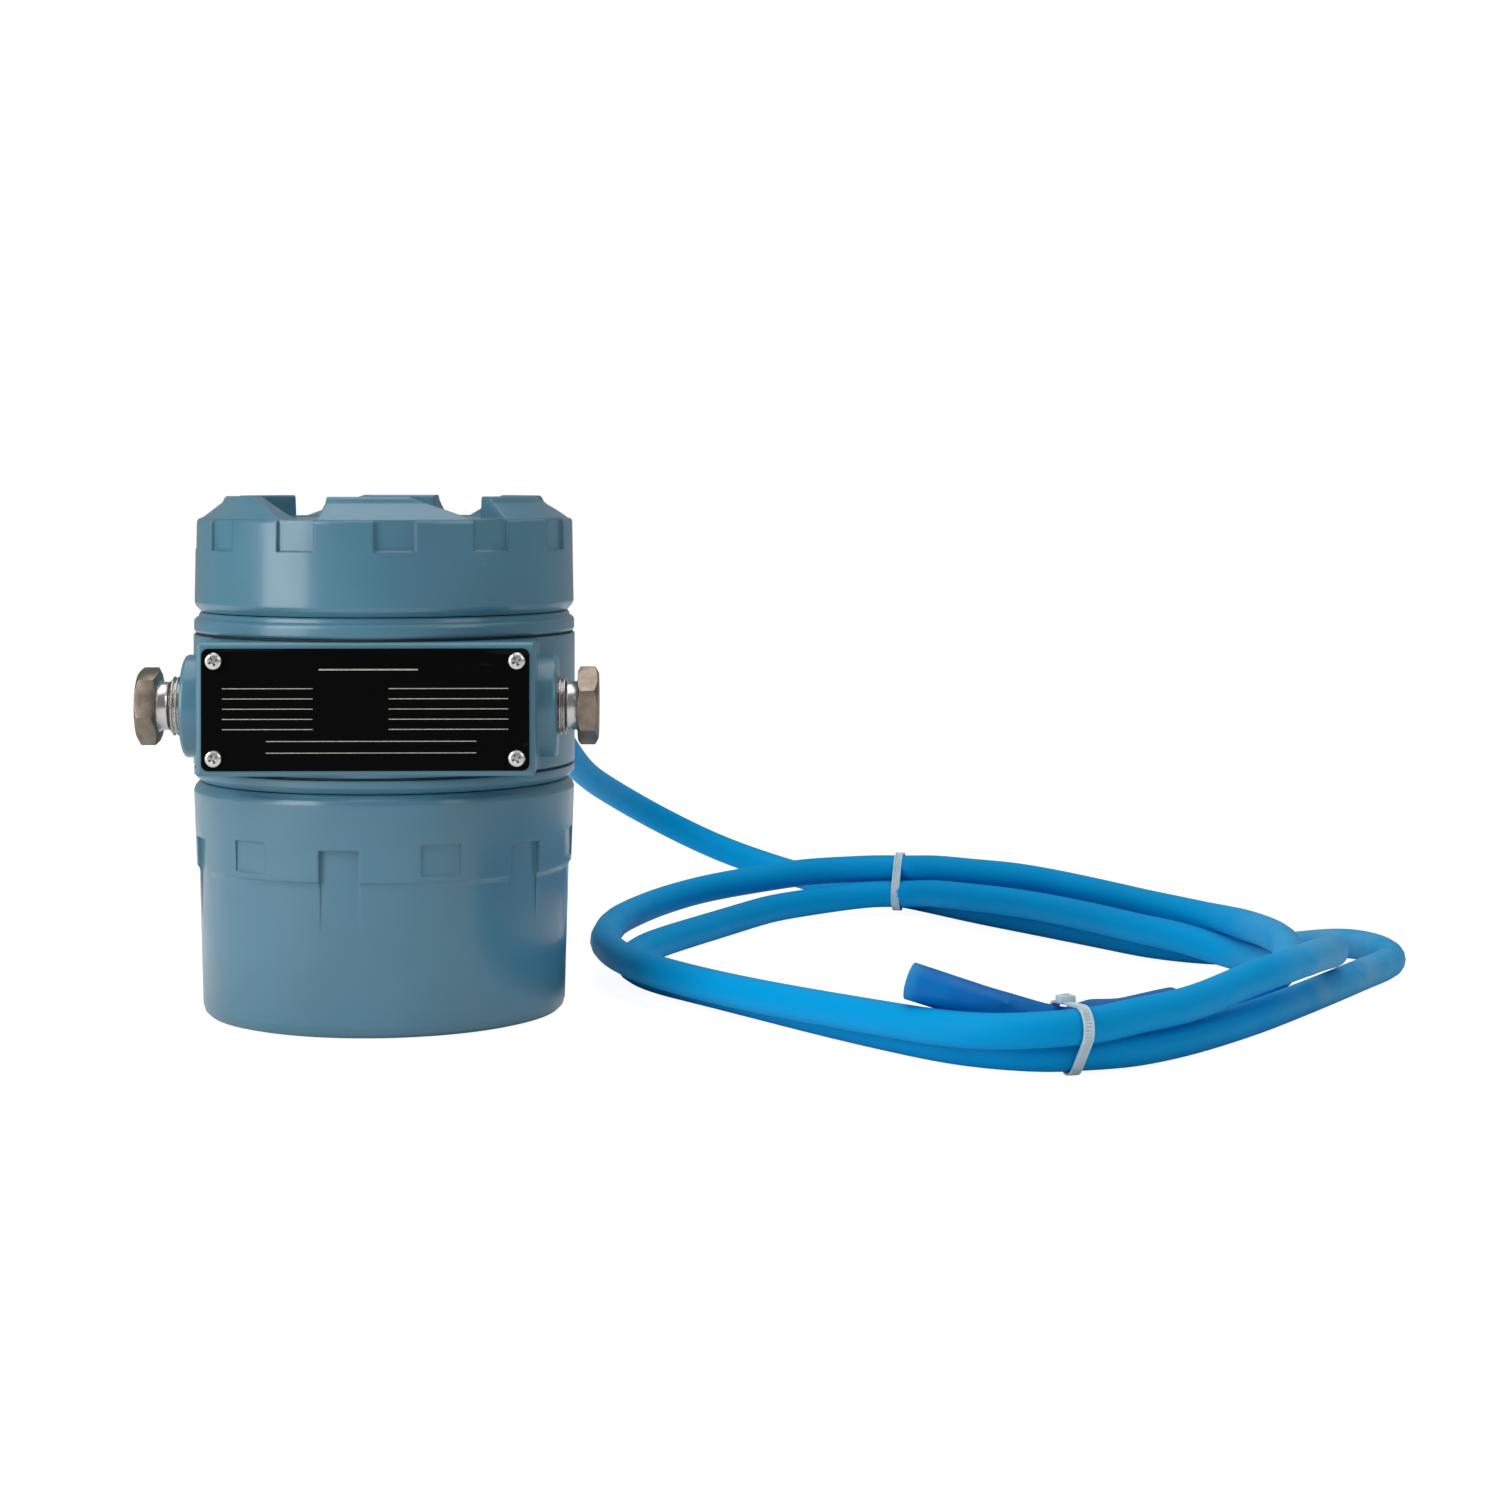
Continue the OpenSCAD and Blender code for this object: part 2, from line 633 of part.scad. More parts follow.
// The head of a tie, standing on the strap: a block with the ratchet slot, and the strap's end,
// cut off close, in it.
module tie_head() {
    slot_w = strap_w - 0.6;
    translate([-tie_head_l / 2, 0, -tie_head_w / 2])
        difference() {
            cube([tie_head_l, tie_head_t, tie_head_w]);
            translate([tie_head_l / 2 - 0.7, -1, (tie_head_w - slot_w) / 2])
                cube([1.4, tie_head_t + 2, slot_w]);
        }
    translate([-0.5, 0.1, -slot_w / 2 + 0.2]) cube([1, tie_head_t + 0.5, slot_w - 0.4]);
}

module strand_outline(strands, grow) {
    hull() for (s = strands) translate([s[0], s[1]]) circle(s[2] + grow, $fn = 32);
}

// A nylon tie pulled round strands that are given as [sideways, height, radius].
module cable_tie(place, turn, strands, head_at, head_tilt) {
    color([0.85, 0.9, 0.93])
    translate(place) rotate([90, 0, 90 + turn]) {
        translate([0, 0, -strap_w / 2]) linear_extrude(strap_w)
            difference() {
                strand_outline(strands, strap_gap + strap_t);
                strand_outline(strands, strap_gap);
            }
        translate(head_at) rotate([0, 0, head_tilt]) tie_head();
    }
}

module rear_cable_tie() {
    r = cable_d / 2;
    cable_tie([205, 237, 0], -14.2, [[-4.4, 9, r + 0.2], [1.8, 19.5, r + 0.2]], [4.6, 10.77, 0], -120.5);
}

module front_cable_tie() {
    r = cable_d / 2;
    cable_tie([235.3, -131.5, 0], 15.8, [[0.6, 7, r], [-7.7, 17, r], [10.1, 16.9, 4.8]], [5, 22.7, 0], -3.9);
}

// ---------------------------------------------------------------- inside the housing

feed_hole_r = 14;
feed_flange_r = 18;
earth_place = [0, earth_r, chamber_floor_z];

// The sealed bush that carries the wires through the wall between the chambers.
module feedthrough() {
    color([0.55, 0.45, 0.2])
    translate([0, 0, partition_z]) {
        rotate_extrude()
            polygon([[0, -4], [feed_hole_r - 1, -4], [feed_hole_r - fit, -3],
                     [feed_hole_r - fit, partition_t + seat_gap],
                     [feed_flange_r, partition_t + seat_gap], [feed_flange_r, partition_t + 2],
                     [0, partition_t + 2]]);
        for (i = [0 : 7]) translate(on_circle(8, i * 45)) translate([0, 0, -9])
            cylinder(d = 1.6, h = partition_t + 14);
    }
}

module earth_screw() {
    color("silver")
    translate(earth_place)
        difference() {
            union() {
                translate([0, 0, -4.5]) cylinder(d = 4, h = 5);
                translate([0, 0, seat_gap]) cylinder(d = 9, h = 1);
                translate([0, 0, 1]) cylinder(d = 7, h = 3);
            }
            translate([-4, -0.5, 2.8]) cube([8, 1, 2]);
        }
}

module terminal_standoffs() {
    color("gold")
    on_posts(terminal_post_r) {
        translate([0, 0, chamber_floor_z + seat_gap])
            difference() {
                cylinder(d = post_d, h = terminal_rise - seat_gap);
                translate([0, 0, terminal_rise - 5]) cylinder(d = 2.6, h = 6);
            }
        translate([0, 0, chamber_floor_z - 4.5]) cylinder(d = 3, h = 5);
    }
}

module terminal_board() {
    color([0.05, 0.35, 0.15])
    translate([0, 0, terminal_board_z])
        difference() {
            cylinder(d = terminal_board_d, h = board_t);
            translate([0, 0, -1]) cylinder(r = feed_flange_r - 4, h = board_t + 2);
            on_posts(terminal_post_r) translate([0, 0, -1]) cylinder(d = 3.2, h = board_t + 2);
            translate(on_circle(earth_r, 90)) translate([0, 0, -1]) cylinder(d = 16, h = board_t + 2);
        }
}

block_end_gap = 4.7;
block_len = 2 * (terminal_post_r * cos(45) - block_end_gap);
way_pitch = (block_len - 2) / terminal_ways;
block_y = 17 - terminal_board_d / 2;
block_seat_z = terminal_board_z + board_t;

// The terminal block: one moulding with a wire entry and a screw well for each way.
module terminal_block() {
    color([0.15, 0.35, 0.2])
    translate([-block_len / 2, block_y, block_seat_z])
        difference() {
            translate([0, -7, 0]) cube([block_len, 14, 12]);
            translate([-1, -8, 8]) cube([block_len + 2, 4, 5]);
            for (i = [0 : terminal_ways - 1]) translate([1 + (i + 0.5) * way_pitch, 0, 0]) {
                translate([-2.5, 4.6, 2.5]) cube([5, 4, 4.5]);
                translate([0, 1.5, 4]) cylinder(d = 5, h = 9);
            }
        }
}

module terminal_screws() {
    color("silver")
    for (i = [0 : terminal_ways - 1])
        translate([-block_len / 2 + 1 + (i + 0.5) * way_pitch, block_y + 1.5, block_seat_z + 4 + seat_gap])
            difference() {
                cylinder(d = 4.6, h = 6, $fn = 32);
                translate([-3, -0.4, 5]) cube([6, 0.8, 2]);
            }
}

board_screw_d = 2.4;
board_screw_len = 4.5;
board_screw_head_d = 5.5;
board_screw_head_h = 2;

// A short pan-head screw whose head rests on the surface at z = 0.
module board_screw() {
    cylinder(d = board_screw_head_d, h = board_screw_head_h, $fn = 32);
    translate([0, 0, -board_screw_len]) cylinder(d = board_screw_d, h = board_screw_len + 0.5, $fn = 32);
}

module terminal_board_screws() {
    color("silver")
    on_posts(terminal_post_r) translate([0, 0, terminal_board_z + board_t + seat_gap]) board_screw();
}

module board_standoffs() {
    color("gold")
    on_posts(board_post_r) {
        translate([0, 0, power_board_z + board_t + seat_gap])
            cylinder(d = post_d, h = first_board_drop - 2 * seat_gap);
        translate([0, 0, partition_z - 1]) cylinder(d = 3, h = 4.5);
    }
}

module round_board(z) {
    color([0.05, 0.3, 0.12])
    translate([0, 0, z])
        difference() {
            cylinder(d = board_d, h = board_t);
            on_posts(board_post_r) translate([0, 0, -1]) cylinder(d = 3.2, h = board_t + 2);
        }
}

module board_spacers() {
    color("gold")
    on_posts(board_post_r)
        translate([0, 0, main_board_z + board_t + seat_gap])
            difference() {
                cylinder(d = spacer_d, h = board_gap - 2 * seat_gap);
                translate([0, 0, -1]) cylinder(d = 2.6, h = 7);
            }
}

module board_screws() {
    color("silver")
    on_posts(board_post_r) translate([0, 0, main_board_z - seat_gap]) rotate([180, 0, 0]) board_screw();
}

module transformer() {
    color([0.75, 0.65, 0.2])
    translate([0, 0, power_board_z - seat_gap]) {
        translate([-26, -12, -4]) cube([24, 24, 4]);
        translate([-23, -8, -16]) cube([18, 16, 12 + eps]);
        translate([-26, -10, -13]) cube([24, 20, 6]);
    }
}

module capacitors() {
    color([0.1, 0.15, 0.3])
    for (y = [-16, 0, 16])
        translate([14, y, power_board_z - 18 - seat_gap]) cylinder(d = 12, h = 18);
}

processor_w = 28;
processor_t = 2.4;
chip_w = 5;
chip_l = 8;
chip_t = 1.8;
chip_gap = 6;

module processor_module() {
    color([0.1, 0.1, 0.1])
    translate([0, 0, main_board_z - seat_gap]) {
        translate([-processor_w / 2, -processor_w / 2, -processor_t])
            cube([processor_w, processor_w, processor_t]);
        for (side = [-1, 1], end = [-1, 1])
            translate([side * (processor_w / 2 + chip_gap + chip_w / 2) - chip_w / 2,
                       end * (chip_gap + chip_l) / 2 - chip_l / 2, -chip_t])
                cube([chip_w, chip_l, chip_t]);
    }
}

// ---------------------------------------------------------------- drawing

housing_body();
weather_ring(upper_slot_z);  // upper_weather_ring
weather_ring(lower_slot_z);  // lower_weather_ring
top_cover();
cover_seal(upper_land_z + rim_gap + seal_offset);  // top_cover_seal
bottom_cover();
cover_seal(bottom_cover_h - seal_offset);  // bottom_cover_seal
nameplate();
nameplate_screw(-1, 1);  // nameplate_screw_1
nameplate_screw(1, 1);  // nameplate_screw_2
nameplate_screw(-1, -1);  // nameplate_screw_3
nameplate_screw(1, -1);  // nameplate_screw_4
left_plug();
right_plug();
gland_body();
gland_seal();
gland_nut();
signal_cable();
cable_end_sleeve();
rear_cable_tie();
front_cable_tie();
feedthrough();
earth_screw();
terminal_standoffs();
terminal_board();
terminal_block();
terminal_screws();
terminal_board_screws();
board_standoffs();
round_board(power_board_z);  // power_board
board_spacers();
round_board(main_board_z);  // main_board
board_screws();
transformer();
capacitors();
processor_module();
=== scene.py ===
"""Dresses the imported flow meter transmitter: paint, plate, plugs, signal cable, sleeve and ties."""

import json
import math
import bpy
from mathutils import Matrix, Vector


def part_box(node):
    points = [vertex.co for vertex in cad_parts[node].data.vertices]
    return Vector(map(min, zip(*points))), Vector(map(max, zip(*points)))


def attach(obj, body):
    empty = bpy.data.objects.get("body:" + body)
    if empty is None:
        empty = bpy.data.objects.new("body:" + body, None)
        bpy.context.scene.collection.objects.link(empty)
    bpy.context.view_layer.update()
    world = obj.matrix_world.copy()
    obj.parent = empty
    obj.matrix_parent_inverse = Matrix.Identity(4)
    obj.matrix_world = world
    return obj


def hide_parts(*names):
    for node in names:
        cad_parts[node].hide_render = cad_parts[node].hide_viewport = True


bl_info = {
    "name": "Flow Meter Transmitter",
    "version": (1, 0, 0),
    "blender": (4, 5, 0),
    "location": "View3D > Sidebar > Transmitter",
    "description": "Finishes a flameproof flow meter transmitter and its coiled signal cable",
    "category": "Object",
}

import bpy
import bmesh
from bpy.props import FloatProperty, FloatVectorProperty, PointerProperty
from mathutils import Matrix, Vector
from mathutils.geometry import intersect_point_line

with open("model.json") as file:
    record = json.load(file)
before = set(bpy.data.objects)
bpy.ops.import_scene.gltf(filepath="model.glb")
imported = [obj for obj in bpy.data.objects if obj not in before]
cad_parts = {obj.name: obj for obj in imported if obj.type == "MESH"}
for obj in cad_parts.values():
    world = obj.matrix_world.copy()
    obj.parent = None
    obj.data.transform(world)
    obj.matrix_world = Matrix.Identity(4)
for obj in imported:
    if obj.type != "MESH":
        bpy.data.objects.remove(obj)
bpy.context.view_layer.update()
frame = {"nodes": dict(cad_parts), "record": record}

MM = 0.001
TAU = 2 * math.pi

# The lengths below are in millimetres. The gland and both plugs sit at one height.
ENTRY_HEIGHT = 114.05
GLAND_TURN = math.radians(15)
GLAND_WAY = Vector((math.sin(GLAND_TURN), math.cos(GLAND_TURN), 0))
GLAND_REACH = 108
GLAND_MOUTH = GLAND_WAY * GLAND_REACH + Vector((0, 0, ENTRY_HEIGHT))

# The cable leaves the gland straight, comes down behind the housing and lies in two turns.
CABLE_RADIUS = 5.9
CABLE_LEAD = 20
CABLE_LAY = [
    (42, 146, 108), (49, 172, 97), (54, 199, 84), (62, 245, 63), (73, 267, 53),
    (88, 284, 42), (106, 296, 31), (126, 300, 21), (146, 299, 14), (165, 291, 9),
    (182, 280, 6), (198, 267, 6), (210, 251, 6), (222, 230, 6), (236, 204, 6), (254, 176, 6),
    (283, 130, 6), (294, 111, 6), (306, 98, 6), (321, 89, 6), (337, 87, 6), (353, 92, 7),
    (368, 95, 8), (378, 92, 8), (386, 80, 7), (386, 65, 6), (379, 50, 6), (367, 32, 6),
    (352, 7, 6), (324, -37, 6), (308, -61, 6), (290, -85, 6), (274, -104, 6), (255, -121, 6),
    (241, -129, 7), (228, -133, 7), (212, -128, 7), (197, -113, 6), (176, -86, 6),
    (157, -60, 6), (118, 0, 6), (102, 22, 6), (93, 41, 6), (88, 60, 6), (89, 80, 6),
    (94, 101, 6), (104, 125, 6), (133, 182, 6), (146, 203, 7), (162, 220, 7), (180, 231, 8),
    (195, 235, 9), (207, 232, 9), (214, 221, 11), (220, 205, 13), (234, 184, 14),
    (251, 162, 15), (279, 113, 15), (291, 92, 14), (304, 74, 14), (320, 55, 10),
    (335, 40, 8), (343, 25, 11), (347, 9, 18), (348, -9, 21), (339, -27, 23), (321, -51, 22),
    (302, -75, 21), (287, -95, 19), (272, -112, 18), (259, -122, 18), (244, -136, 17),
    (230, -142, 17), (213, -142, 16), (196, -132, 15), (179, -109, 14), (144, -60, 12),
    (122, -32, 12), (103, -3, 12), (89, 19, 13), (81, 43, 14), (78, 66, 14), (79, 90, 14),
    (81, 116, 14), (88, 143, 14), (99, 169, 15), (114, 194, 16), (130, 210, 17),
    (147, 222, 18), (163, 233, 19), (180, 239, 19), (195, 241, 19.5), (209, 238, 19.5),
    (219, 228, 21), (227, 214, 22), (238, 195, 23), (254, 177, 24), (283, 136, 22),
    (295, 117, 21), (306, 96, 21), (316, 75, 21), (324, 55, 22), (332, 35, 21),
    (335, 17, 20), (333, 0, 16), (324, -15, 12), (311, -26, 9), (296, -34, 7), (282, -44, 7),
]

# The sleeve's axis from the cable's end to its open mouth, and its radius at each point. Its folds
# run lengthwise, turn by FOLD_TWIST radians for each metre and die away over FOLD_REACH.
SLEEVE_LAY = [
    (282, -44, 7), (270, -53, 7), (261, -71, 9), (251, -93, 13), (245, -111, 16),
    (237, -121, 16), (227, -123, 18), (217, -124, 20), (206, -121, 22), (195, -118, 25),
    (184, -114, 28),
]
SLEEVE_RADII = [6.8, 6.2, 5.4, 5.2, 5.0, 4.2, 4.5, 5.6, 6.0, 6.2, 6.3]
SLEEVE_WALL = 1.1
FOLD_COUNT = 5
FOLD_DEPTH = 0.6
FOLD_TWIST = 18
FOLD_REACH = 34

# Each tie: its place on the floor, its turn about the upright, the strands it holds as
# (sideways, height, radius), the seat of its head and how far the head leans.
REAR_TIE = {
    "place": (205, 237), "turn": -14.2, "seat": (4.6, 10.77), "lean": -120.5,
    "strands": [(-4.4, 9, 6.1), (1.8, 19.5, 6.1)],
}
FRONT_TIE = {
    "place": (235.3, -131.5), "turn": 15.8, "seat": (5, 22.7), "lean": -3.9,
    "strands": [(0.6, 7, 5.9), (-7.7, 17, 5.9), (10.1, 16.9, 4.8)],
}

# The strap of a tie: its slack round the strands, the plain edge on each side and the slope beside
# it, and its thickness between the ribs and on them. Every second step is a rib.
STRAP_SLACK = 0.3
STRAP_EDGE = 0.6
STRAP_SLOPE = 0.1
STRAP_THIN = 0.45
STRAP_THICK = 0.85
RIB_STEP = 0.5

# The head of a tie: the height of the centre and the size of its block, of the slot through it
# and of the strap's cut end in the slot.
HEAD_BLOCK = (1.3, (5.4, 5.2, 2.6))
HEAD_SLOT = (1.4, (2.9, 1.4, 4.0))
HEAD_TAIL = (1.6, (2.5, 1.0, 2.9))

# The blanking plugs: the face of their bosses, how far forward their axis is, the hexagon's
# flats and length, the radii of its two faces and of its corners, and the wear of its edges.
BOSS_FACE = 65.2
PLUG_Y = -47
PLUG_FLATS = 24
PLUG_HEAD = 7.2
PLUG_BACK = 12.2
PLUG_FRONT = 11.6
PLUG_CORNER = 14.2
PLUG_WEAR = 0.28

# The shank of a plug: how deep it sits in the boss and its radius there, the ridges of its
# thread, the last of which may run a little into the neck, and the neck's length and radius.
SHANK_SUNK = 3
SHANK_RADIUS = 9.9
THREAD_START = 0.15
THREAD_ROOT = 9.35
THREAD_CREST = 10.35
THREAD_PITCH = 1.5
THREAD_RUNOUT = 0.2
RIDGE_LENGTH = 1.3
NECK_LENGTH = 4.2
NECK_RADIUS = 8.5

# Each plug: its side of the housing, how far the shank shows and how the hexagon is turned.
LEFT_PLUG = {"side": -1, "show": 9.0, "turn": 15}
RIGHT_PLUG = {"side": 1, "show": 7.0, "turn": 34.5}

# The ruled lines of the nameplate as (left, right, height, thickness): a title, two columns of
# five and two lines below them. Each is a thin strip whose middle lies just off the plate.
RULE_THICK = 0.28
RULE_DEPTH = 0.10
RULE_OFF = 0.02
RULES = [
    (-16, 18, 128.2, 0.5),
    *((left, right, height, RULE_THICK) for height in (121.7, 118.2, 114.7, 111.2, 107.7)
      for left, right in ((-49, -18), (8, 49))),
    (-34, 38, 103.6, RULE_THICK),
    (-34, 38, 99.6, RULE_THICK),
]

# The studio, in metres. The floor lies just under the part. It and the sky look white to the
# camera, by a glow that only the camera sees, and the sky lights the part much less.
FLOOR_SIZE = 14
FLOOR_DROP = 0.0002
FLOOR_WHITE = 0.93
FLOOR_GLOW = 1.25
FLOOR_GLOW_SHARE = 0.75
SKY_COLOUR = (0.96, 0.98, 1.0, 1)
SKY_STRENGTH = 0.26

# Each lamp: its place, what it points at, its size, and its power as a share of the key power.
LAMPS = {
    "left_softbox": ((-1.05, -0.75, 0.62), (0.02, 0, 0.10), (0.8, 1.2), 1.0),
    "right_softbox": ((1.30, -0.85, 0.95), (0.10, 0, 0.08), (0.7, 0.9), 0.25),
    "top_softbox": ((0.15, 0.05, 1.45), (0.12, 0.05, 0), (1.5, 1.5), 0.85),
}


# ------------------------------------------------------------------ sizes and colours


class TransmitterLooks(bpy.types.PropertyGroup):
    """Colours and finishes of the housing."""

    paint: FloatVectorProperty(
        name="Paint", description="Enamel on the castings", subtype="COLOR",
        size=3, min=0, max=1, default=(0.060, 0.190, 0.268))
    paint_roughness: FloatProperty(
        name="Paint roughness", description="How dull the enamel is", min=0, max=1, default=0.34)
    edge_radius: FloatProperty(
        name="Edge radius", description="How softly the paint rounds an edge",
        default=0.0015, min=0, unit="LENGTH")
    plate: FloatVectorProperty(
        name="Plate", description="Anodised nameplate", subtype="COLOR",
        size=3, min=0, max=1, default=(0.0022, 0.0022, 0.0024))
    plug_steel: FloatVectorProperty(
        name="Plug steel", description="Weathered steel of the blanking plugs", subtype="COLOR",
        size=3, min=0, max=1, default=(0.30, 0.245, 0.195))


class CableLooks(bpy.types.PropertyGroup):
    """Sizes and colours of the signal cable and what is on it."""

    length: FloatProperty(
        name="Length", description="Cable from the gland to the sleeve",
        default=2.70, unit="LENGTH")
    jacket: FloatVectorProperty(
        name="Jacket", description="Cable jacket", subtype="COLOR",
        size=3, min=0, max=1, default=(0.0, 0.302, 0.655))
    sleeve: FloatVectorProperty(
        name="Sleeve", description="Sleeve over the cable's end", subtype="COLOR",
        size=3, min=0, max=1, default=(0.0, 0.145, 0.46))
    tie: FloatVectorProperty(
        name="Tie", description="Nylon of the cable ties", subtype="COLOR",
        size=3, min=0, max=1, default=(0.60, 0.74, 0.80))
    strap_width: FloatProperty(
        name="Strap width", description="Width of a cable tie", default=0.0035, unit="LENGTH")


class StageLooks(bpy.types.PropertyGroup):
    """Camera and lamps."""

    lens: FloatProperty(
        name="Lens", description="Focal length", default=73.32, min=10, unit="CAMERA")
    eye_height: FloatProperty(
        name="Eye height", description="Camera height above the floor",
        default=0.195, unit="LENGTH")
    distance: FloatProperty(
        name="Distance", description="Camera distance in front of the housing",
        default=1.119, unit="LENGTH")
    sideways: FloatProperty(
        name="Sideways", description="How far the camera stands to the right",
        default=0.1335, unit="LENGTH")
    turn: FloatProperty(
        name="Turn", description="How far the camera walks round the housing",
        default=math.radians(-1.2), subtype="ANGLE")
    shift: FloatProperty(
        name="Shift", description="How far the level view is moved up, as a share of its width",
        default=-11 / 60)
    key_power: FloatProperty(
        name="Key power", description="Power of the large left lamp, in watts", default=13.5, min=0)


def looks():
    return bpy.context.scene.transmitter_looks


def cable_looks():
    return bpy.context.scene.cable_looks


# ------------------------------------------------------------------ finishes


class Finish:
    """A node material under construction, with Object coordinates at hand."""

    def __init__(self, name, colour, roughness, metallic=0.0):
        self.material = bpy.data.materials.new(name)
        self.material.use_nodes = True
        self.material.diffuse_color = (*colour, 1)
        self.tree = self.material.node_tree
        self.shader = self.tree.nodes["Principled BSDF"]
        self.shader.inputs["Base Color"].default_value = (*colour, 1)
        self.shader.inputs["Roughness"].default_value = roughness
        self.shader.inputs["Metallic"].default_value = metallic
        self.coords = self.tree.nodes.new("ShaderNodeTexCoord").outputs["Object"]

    def set(self, **values):
        """Sets shader sockets, named with underscores for spaces."""
        for socket, value in values.items():
            self.shader.inputs[socket.replace("_", " ")].default_value = value
        return self

    def stretch(self, scale):
        """The coordinates scaled along each axis, for grain."""
        node = self.tree.nodes.new("ShaderNodeMapping")
        node.inputs["Scale"].default_value = scale
        self.tree.links.new(self.coords, node.inputs["Vector"])
        return node.outputs["Vector"]

    def noise(self, scale, detail, rough=0.55, vector=None):
        node = self.tree.nodes.new("ShaderNodeTexNoise")
        node.inputs["Scale"].default_value = scale
        node.inputs["Detail"].default_value = detail
        node.inputs["Roughness"].default_value = rough
        self.tree.links.new(vector or self.coords, node.inputs["Vector"])
        return node.outputs["Fac"]

    def spots(self, scale, size):
        """1 inside small round specks, 0 elsewhere."""
        node = self.tree.nodes.new("ShaderNodeTexVoronoi")
        node.inputs["Scale"].default_value = scale
        self.tree.links.new(self.coords, node.inputs["Vector"])
        return self.ramp(node.outputs["Distance"], [(0, 1), (size, 1), (size * 1.5, 0)])

    def ramp(self, source, stops):
        """A colour, or a grey given as one number, for each (place, value)."""
        node = self.tree.nodes.new("ShaderNodeValToRGB")
        elements = node.color_ramp.elements
        while len(elements) < len(stops):
            elements.new(0.5)
        for element, (place, value) in zip(elements, stops):
            element.position = place
            colour = value if hasattr(value, "__len__") else (value, value, value)
            element.color = (*colour, 1)
        self.tree.links.new(source, node.inputs["Fac"])
        return node.outputs["Color"]

    def mix(self, factor, a, b):
        node = self.tree.nodes.new("ShaderNodeMix")
        node.data_type = "RGBA"
        for socket, value in (("A", a), ("B", b)):
            slot = next(i for i in node.inputs if i.name == socket and i.type == "RGBA")
            if isinstance(value, bpy.types.NodeSocket):
                self.tree.links.new(value, slot)
            else:
                slot.default_value = (*value, 1)
        self.tree.links.new(factor, node.inputs["Factor"])
        return next(o for o in node.outputs if o.type == "RGBA")

    def times(self, a, b):
        node = self.tree.nodes.new("ShaderNodeMath")
        node.operation = "MULTIPLY"
        for slot, value in zip(node.inputs, (a, b)):
            if isinstance(value, bpy.types.NodeSocket):
                self.tree.links.new(value, slot)
            else:
                slot.default_value = value
        return node.outputs["Value"]

    def along(self, direction):
        """How far a point lies along a direction, in metres."""
        node = self.tree.nodes.new("ShaderNodeVectorMath")
        node.operation = "DOT_PRODUCT"
        self.tree.links.new(self.coords, node.inputs[0])
        node.inputs[1].default_value = direction
        return node.outputs["Value"]

    def rings(self):
        """Fine turning marks round the X axis."""
        return self.noise(1500, 1, vector=self.stretch((1, 0.02, 0.02)))

    def painted_recess_shade(self, depth):
        """0 down in narrow recesses, 1 on open faces: a mask for painting shade into recesses."""
        node = self.tree.nodes.new("ShaderNodeAmbientOcclusion")
        node.samples = 8
        node.only_local = True
        node.inputs["Distance"].default_value = depth
        return node.outputs["AO"]

    def colour(self, source):
        self.tree.links.new(source, self.shader.inputs["Base Color"])
        return self

    def roughness(self, source):
        self.tree.links.new(source, self.shader.inputs["Roughness"])
        return self

    def relief(self, heights, edge=0.0):
        """Bumps, given as (height, depth in metres, strength), over softly rounded edges."""
        normal = None
        if edge:
            node = self.tree.nodes.new("ShaderNodeBevel")
            node.samples = 8
            node.inputs["Radius"].default_value = edge
            normal = node.outputs["Normal"]
        for height, depth, strength in heights:
            node = self.tree.nodes.new("ShaderNodeBump")
            node.inputs["Distance"].default_value = depth
            node.inputs["Strength"].default_value = strength
            self.tree.links.new(height, node.inputs["Height"])
            if normal:
                self.tree.links.new(normal, node.inputs["Normal"])
            normal = node.outputs["Normal"]
        if normal:
            self.tree.links.new(normal, self.shader.inputs["Normal"])
        return self


def shade(colour, factor):
    return tuple(min(1, channel * factor) for channel in colour)


def enamel_finish(name):
    """Satin enamel sprayed over a casting: orange peel, faint clouds and a few dust specks."""
    paint = looks().paint
    dull = looks().paint_roughness
    f = Finish(name, paint, dull)
    clouds = f.ramp(f.noise(14, 3), [(0.35, shade(paint, 0.93)), (0.65, shade(paint, 1.07))])
    dust = f.spots(190, 0.028)
    few = f.ramp(f.noise(23, 1), [(0.56, 0), (0.62, 1)])
    f.colour(f.mix(f.times(dust, few), clouds, shade(paint, 2.1)))
    f.roughness(f.ramp(f.noise(60, 4), [(0.3, dull - 0.05), (0.7, dull + 0.07)]))
    f.relief([(f.noise(520, 2), 0.00012, 0.16), (f.noise(45, 2), 0.0006, 0.10),
              (dust, 0.0001, 0.25)], looks().edge_radius)
    return f.set(Coat_Weight=0.55, Coat_Roughness=0.16).material


def rubber_finish(name):
    """Dull black rubber with a fine skin."""
    f = Finish(name, (0.012, 0.012, 0.012), 0.62)
    f.roughness(f.ramp(f.noise(220, 3), [(0.3, 0.52), (0.7, 0.72)]))
    return f.relief([(f.noise(900, 3), 0.0001, 0.3)]).material


def plate_finish(name):
    """Black anodised sheet: very fine lengthwise grain and a few hair scratches."""
    plate = looks().plate
    f = Finish(name, plate, 0.34)
    grain = f.noise(700, 2, vector=f.stretch((0.04, 1, 1)))
    scratch = f.ramp(f.noise(90, 1, vector=f.stretch((0.25, 1, 2.5))), [(0.705, 0), (0.712, 1)])
    f.colour(f.mix(f.times(scratch, 0.35), plate, shade(plate, 7)))
    f.roughness(f.ramp(grain, [(0.3, 0.30), (0.7, 0.40)]))
    return f.relief([(grain, 0.00002, 0.3)], 0.0002).set(Specular_IOR_Level=0.03).material


